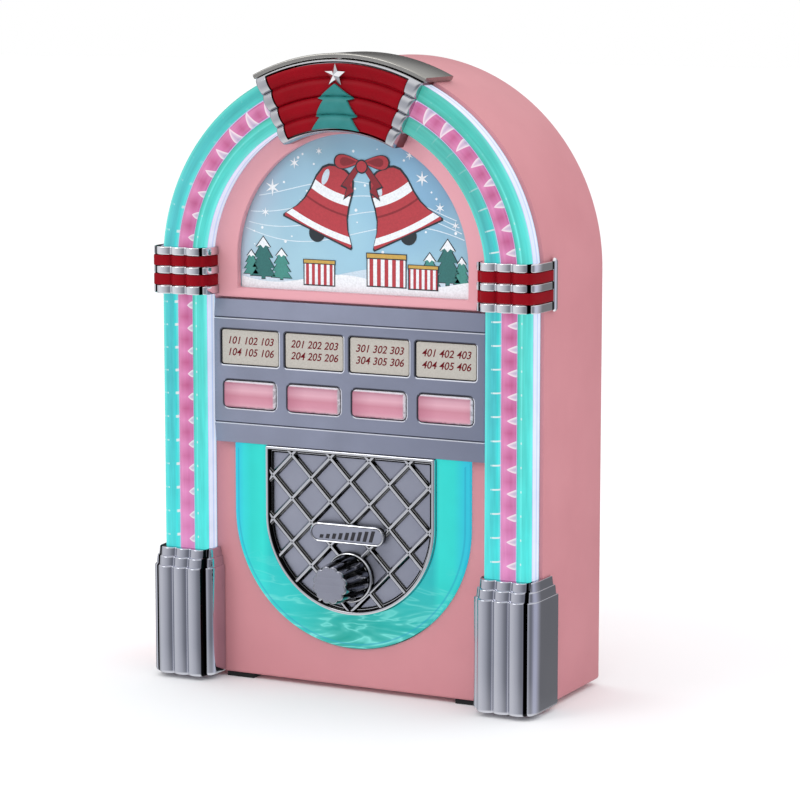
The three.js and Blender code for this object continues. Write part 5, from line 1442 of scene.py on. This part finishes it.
# Layers of [radius, y, shade]: a skirt at the back, a long taper, and a rounded front edge
knob = Skin()
face_y, knob_back = knob_low[1], knob_high[1]
knob_layers = [(8.4, knob_back, 1), (8.3, knob_back - 0.4, 1)]
knob_layers += [(8.3 - 1.35 * s, knob_back - 0.4 + (face_y + 1.2 - knob_back) * s, 1)
                for s in np.linspace(0.1, 1, 8)]
knob_layers += [(6.9 - inset, face_y + 0.1 + setback, share)
                for (inset, setback), share in zip(rounding(0.5, 4), (0.8, 0.3, 0, 0, 0))]
loops = []
for radius, y, share in knob_layers:
    line, crest = lobed(radius)
    loops.append(knob.loop(line, y, share * np.clip(1.5 - 1.6 * crest ** 3, 0.0, 1)))
knob.walls(loops)
knob.fill(loops[-1])
bore = [knob.loop(circle_outline(0, knob_z, 3.3, len(loops[0])), y, 1.0)
        for y in (knob_back, face_y + 2)]
knob.fill(loops[0], bore[0])
knob.walls(bore)
knob.fill(bore[1])
make_piece("knob_lobed", knob, shaded_knob_chrome, body="volume_knob", slot="plated_chrome",
           stands_for=["volume_knob"], crease=35)
disc = plate(lambda inset: lobed(6.2 - inset)[0], slab_layers(face_y + 0.4, face_y, 0.08))
make_piece("knob_disc_satin", disc, knob_silver, body="volume_knob", slot="satin_plate")

# Rear cover with vents, openings and screw holes
inside_half = cabinet_half - cabinet_wall
door_low, door_high = solid_box("battery_door")
cover_front, cover_back = door_low[1], door_high[1]
cover_edge = [(0, cover_front)] + [(inset, cover_back - setback) for inset, setback in rounding(0.3, 3)]
slider_low, slider_high = solid_box("power_switch_slider")
speaker_low, speaker_high = solid_box("speaker_basket")
speaker_z = (speaker_low[2] + speaker_high[2]) / 2
screw_boxes = [solid_box(f"cover_screw_{k}") for k in range(1, 5)]
screw_places = [((low[0] + high[0]) / 2, (low[2] + high[2]) / 2) for low, high in screw_boxes]
vent_count, vent_pitch, vent_reach, slider_travel = 9, 4.6, 22.2, 4


def vent_outline(k, grow):
    """An upright slot of a round group: as tall as the group's circle is at its place across."""
    x = vent_pitch * (k - (vent_count - 1) / 2)
    reach = math.sqrt(vent_reach ** 2 - x ** 2)
    return rounded_outline(x, speaker_z, 2 + 2 * grow, 2 * (reach + grow), 0.99 + grow, 5)


def box_outline(low, high, grow, radius, travel=0):
    """A rounded rectangle round a solid's box, grown on all sides, and to the right by its travel."""
    return rounded_outline((low[0] + high[0] + travel) / 2, (low[2] + high[2]) / 2,
                           high[0] - low[0] + travel + 2 * grow, high[2] - low[2] + 2 * grow, radius)


cover_holes = [lambda grow, k=k: vent_outline(k, grow) for k in range(vent_count)]
cover_holes += [lambda grow, p=p: circle_outline(*p, 1.8 + grow, 24) for p in screw_places]
cover_holes += [
    lambda grow: box_outline(door_low, door_high, gap + grow, 0.8 + grow),
    lambda grow: box_outline(slider_low, slider_high, gap + grow, 0.4 + grow, slider_travel),
]
cover = plate(lambda inset: arch_outline(inside_half - gap - inset,
                                         cabinet_bottom + cabinet_wall + gap + inset, corner=1),
              cover_edge, cover_holes)
# A raised ring round the vents and a boss round each screw
ring_wide, ring_proud = 1.6, 0.7
ring_section = [(ring_wide * share, cover_back + ring_proud * math.sin(math.pi * share))
                for share in np.linspace(0, 1, 9)]
ring_section += [(ring_wide, cover_back - 1), (0, cover_back - 1)]
around(lambda inset: circle_outline(0, speaker_z, 26.4 - inset), ring_section, skin=cover)
boss = [(0, cover_back - 0.5), (0, cover_back + 0.25), (0.25, cover_back + 0.45),
        (0.9, cover_back + 0.45), (1.15, cover_back + 0.2), (1.15, cover_back - 0.5)]
for x, z in screw_places:
    around(lambda inset, x=x, z=z: circle_outline(x, z, 4.1 - inset, 32), boss, skin=cover)
make_piece("cover_lacquered", cover, pink_lacquer, slot="painted_cabinet", stands_for=["rear_cover"])

# Crossed recesses in the screws' heads, drawn as flat dark crosses of painted shade
crosses = Skin()
arm = np.array([[0.28, 1.15], [0.28, 0.28], [1.15, 0.28], [1.15, -0.28], [0.28, -0.28], [0.28, -1.15]])
for (x, z), (low, high) in zip(screw_places, screw_boxes):
    cross = turned_by(np.vstack([arm, -arm]), 20, x, z)
    plate(lambda inset, cross=cross: cross, [(0, high[1] - 0.1), (0, high[1] + 0.02)], skin=crosses)
make_piece("screw_crosses", crosses, dark_print_and_shade, slot="steel")

door = plate(lambda inset: box_outline(door_low, door_high, -inset, 0.8), cover_edge)
# Grip ribs near its upper edge, and a plain arrowhead that points down
grip_count, grip_pitch, grip_wide, grip_tall = 4, 2.2, 20, 1.1
for k in range(grip_count):
    z = door_high[2] - 5 - grip_pitch * k
    plate(lambda inset, z=z: rounded_outline(0, z, grip_wide - 2 * inset, grip_tall - 2 * inset,
                                             0.54 - inset),
          [(0, cover_back - 0.5), (0, cover_back + 0.2), (0.1, cover_back + 0.45),
           (0.3, cover_back + 0.55)], skin=door)
arrow = np.array([[-3.4, 0], [3.4, 0], [0, -4.2]])
plate(lambda inset: set_in(arrow, inset) + [0, door_high[2] - 15.5],
      [(0, cover_back - 0.5), (0, cover_back + 0.2), (0.2, cover_back + 0.4)], skin=door)
make_piece("door_lacquered", door, pink_lacquer, body="battery_door", slot="painted_cabinet",
           stands_for=["battery_door"])

# Cells in the battery bay, their plus ends by turns on the right and the left
cell_turn = once_round(48)
plus_tall, plus_radius, printed_end = 1, 2.7, 12
for k, plus in enumerate((1, -1, 1)):
    low, high = solid_box(f"battery_cell_{k + 1}")
    cell_y, cell_z = (low + high)[1:] / 2
    radius, half = (high[2] - low[2]) / 2, (high[0] - low[0] - plus_tall) / 2
    profile = [(-half, radius - 1.4, 0), (-half, radius - 0.65, 0), (0.15 - half, radius - 0.2, 0),
               (0.55 - half, radius, 0), (half - printed_end - 0.1, radius, 0),
               (half - printed_end, radius, 1), (half - 0.55, radius, 1),
               (half - 0.15, radius - 0.2, 1), (half, radius - 0.65, 1), (half, plus_radius, 1),
               (half + plus_tall - 0.1, plus_radius, 1), (half + plus_tall, plus_radius - 0.2, 1)]
    cell = Skin()
    # Circles of a radius about the cell's axis, one at each place along it
    loops = [cell.loop(np.column_stack([
        np.full(len(cell_turn), plus * along), cell_y + reach * np.cos(cell_turn),
        cell_z + reach * np.sin(cell_turn)]), shade=shade) for along, reach, shade in profile]
    cell.walls(loops)
    cell.fill(loops[0], axes=(1, 2))
    cell.fill(loops[-1], axes=(1, 2))
    make_piece(f"cell_{k + 1}_wrapped", cell, cell_film, slot="cell_wrap",
               stands_for=[f"battery_cell_{k + 1}"])

# Finishes of the solids that stay
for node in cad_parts.values():
    node.data.materials.clear()
kept = [
    (circuit_resin, "arch_light_strip light_band_board main_board button_board"),
    (steel, "knob_shaft potentiometer battery_contacts_left battery_contacts_right"),
    (steel, "cover_screw_1 cover_screw_2 cover_screw_3 cover_screw_4"),
    (black_abs, "battery_tray speaker_basket power_switch_body power_switch_slider"),
    (paper_pulp, "speaker_cone"),
    (rubber, "foot_front_left foot_front_right foot_rear_left foot_rear_right"),
    (chrome, "crown_star"),
]
for material, nodes in kept:
    for node in nodes.split():
        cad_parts[node].data.materials.append(material)

# Floor, camera and lights
floor_half = 6.0
mesh = bpy.data.meshes.new("floor")
mesh.from_pydata([(-floor_half, -floor_half, 0), (floor_half, -floor_half, 0),
                  (floor_half, floor_half, 0), (-floor_half, floor_half, 0)], [], [(0, 1, 2, 3)])
pale_floor = surface("paper_white_matt", "#f7f7f8", "#f4f4f5", 200, 5, 0.002, Roughness=0.9)
mesh.materials.append(pale_floor)
stage_floor = bpy.data.objects.new("floor", mesh)
bpy.context.scene.collection.objects.link(stage_floor)
stage_floor.visible_glossy = False

camera_data = bpy.data.cameras.new("camera")
camera_data.lens = 134.33
camera_data.sensor_width = 36
camera_data.clip_end = 50
camera = bpy.data.objects.new("camera", camera_data)
# Place and aim that bring the solids' corners onto their places in the photograph, in millimetres
camera.location = Vector((495.03, -946.74, 261.32)) * MM
target = Vector((10.866, 0, 104.882)) * MM
camera.rotation_euler = (target - camera.location).to_track_quat("-Z", "Y").to_euler()
bpy.context.scene.collection.objects.link(camera)
bpy.context.scene.camera = camera

# Key light: a square lamp of 1 m, places in metres
key_data = bpy.data.lights.new("key", "AREA")
key_data.shape = "RECTANGLE"
key_data.size, key_data.size_y = 1.0, 1.0
key_data.energy = 9
key = bpy.data.objects.new("key", key_data)
key.location = (-1.1, -1.6, 1.5)
key.rotation_euler = (Vector((0, 0, 0.12)) - key.location).to_track_quat("-Z", "Y").to_euler()
key.visible_camera = False
bpy.context.scene.collection.objects.link(key)


def fill_light(name, towards, strength, spread=120):
    """Even light from one side of the room, which mirrors don't show."""
    data = bpy.data.lights.new(name, "SUN")
    data.energy, data.angle = strength, math.radians(spread)
    lamp = bpy.data.objects.new(name, data)
    lamp.rotation_euler = Vector(towards).to_track_quat("-Z", "Y").to_euler()
    lamp.visible_glossy = False
    bpy.context.scene.collection.objects.link(lamp)


fill_light("fill_right", (-1, 0.15, -0.5), 0.85)
fill_light("fill_left", (1, 0.6, -0.6), 0.5)
fill_light("fill_back", (0.3, -1, -0.6), 0.5)

# Room that lights the object and shows in its chrome: a pale ceiling, a bright left and front, and a
# darker back right. The camera sees plain white past the floor
world = bpy.data.worlds.new("studio")
bpy.context.scene.world = world
world.use_nodes = True
tree = world.node_tree
towards = add(tree, "TexCoord", out="Generated")
ahead = add(tree, "Math", add(tree, "SeparateXYZ", towards, out="Y"), -1.0, operation="MULTIPLY")
angle = add(tree, "Math", add(tree, "SeparateXYZ", towards, out="X"), ahead, operation="ARCTAN2")
room = [(-180, "#8a8a8c"), (-150, "#3c3c3e"), (-143, "#4a4a4c"), (-134, "#9c9d9f"),
        (-95, "#c8c9cc"), (-67, "#e6e7ea"), (-40, "#dedfe3"), (-27, "#d4d5da"), (2, "#babcc2"),
        (28, "#999ba2"), (55, "#83858c"), (76, "#8a8c95"), (94, "#b0b1be"), (106, "#cbcddd"),
        (122, "#cbcddd"), (136, "#aeaeb8"), (146, "#8f8f93"), (152, "#7c7c7e"), (166, "#7a7a7c"),
        (180, "#8a8a8c")]
walls = add(tree, "ValToRGB", add(tree, "MapRange", angle, -math.pi, math.pi, 0.0, 1.0),
            stops=[(degrees / 360 + 0.5, colour) for degrees, colour in room])
up = add(tree, "MapRange", add(tree, "SeparateXYZ", towards, out="Z"), 0.12, 0.75, 0.0, 1.0,
         interpolation_type="SMOOTHSTEP")
down = add(tree, "MapRange", add(tree, "SeparateXYZ", towards, out="Z"), -0.3, -0.8, 0.0, 1.0)
sky = add(tree, "Mix", add(tree, "Math", up, down), walls, "#ffffff", data_type="RGBA")
seen = add(tree, "LightPath", out="Is Camera Ray")
backdrop = tree.nodes["Background"]
tree.links.new(add(tree, "Mix", seen, sky, "#ffffff", data_type="RGBA"), backdrop.inputs["Color"])

bpy.context.scene.view_settings.view_transform = "Standard"
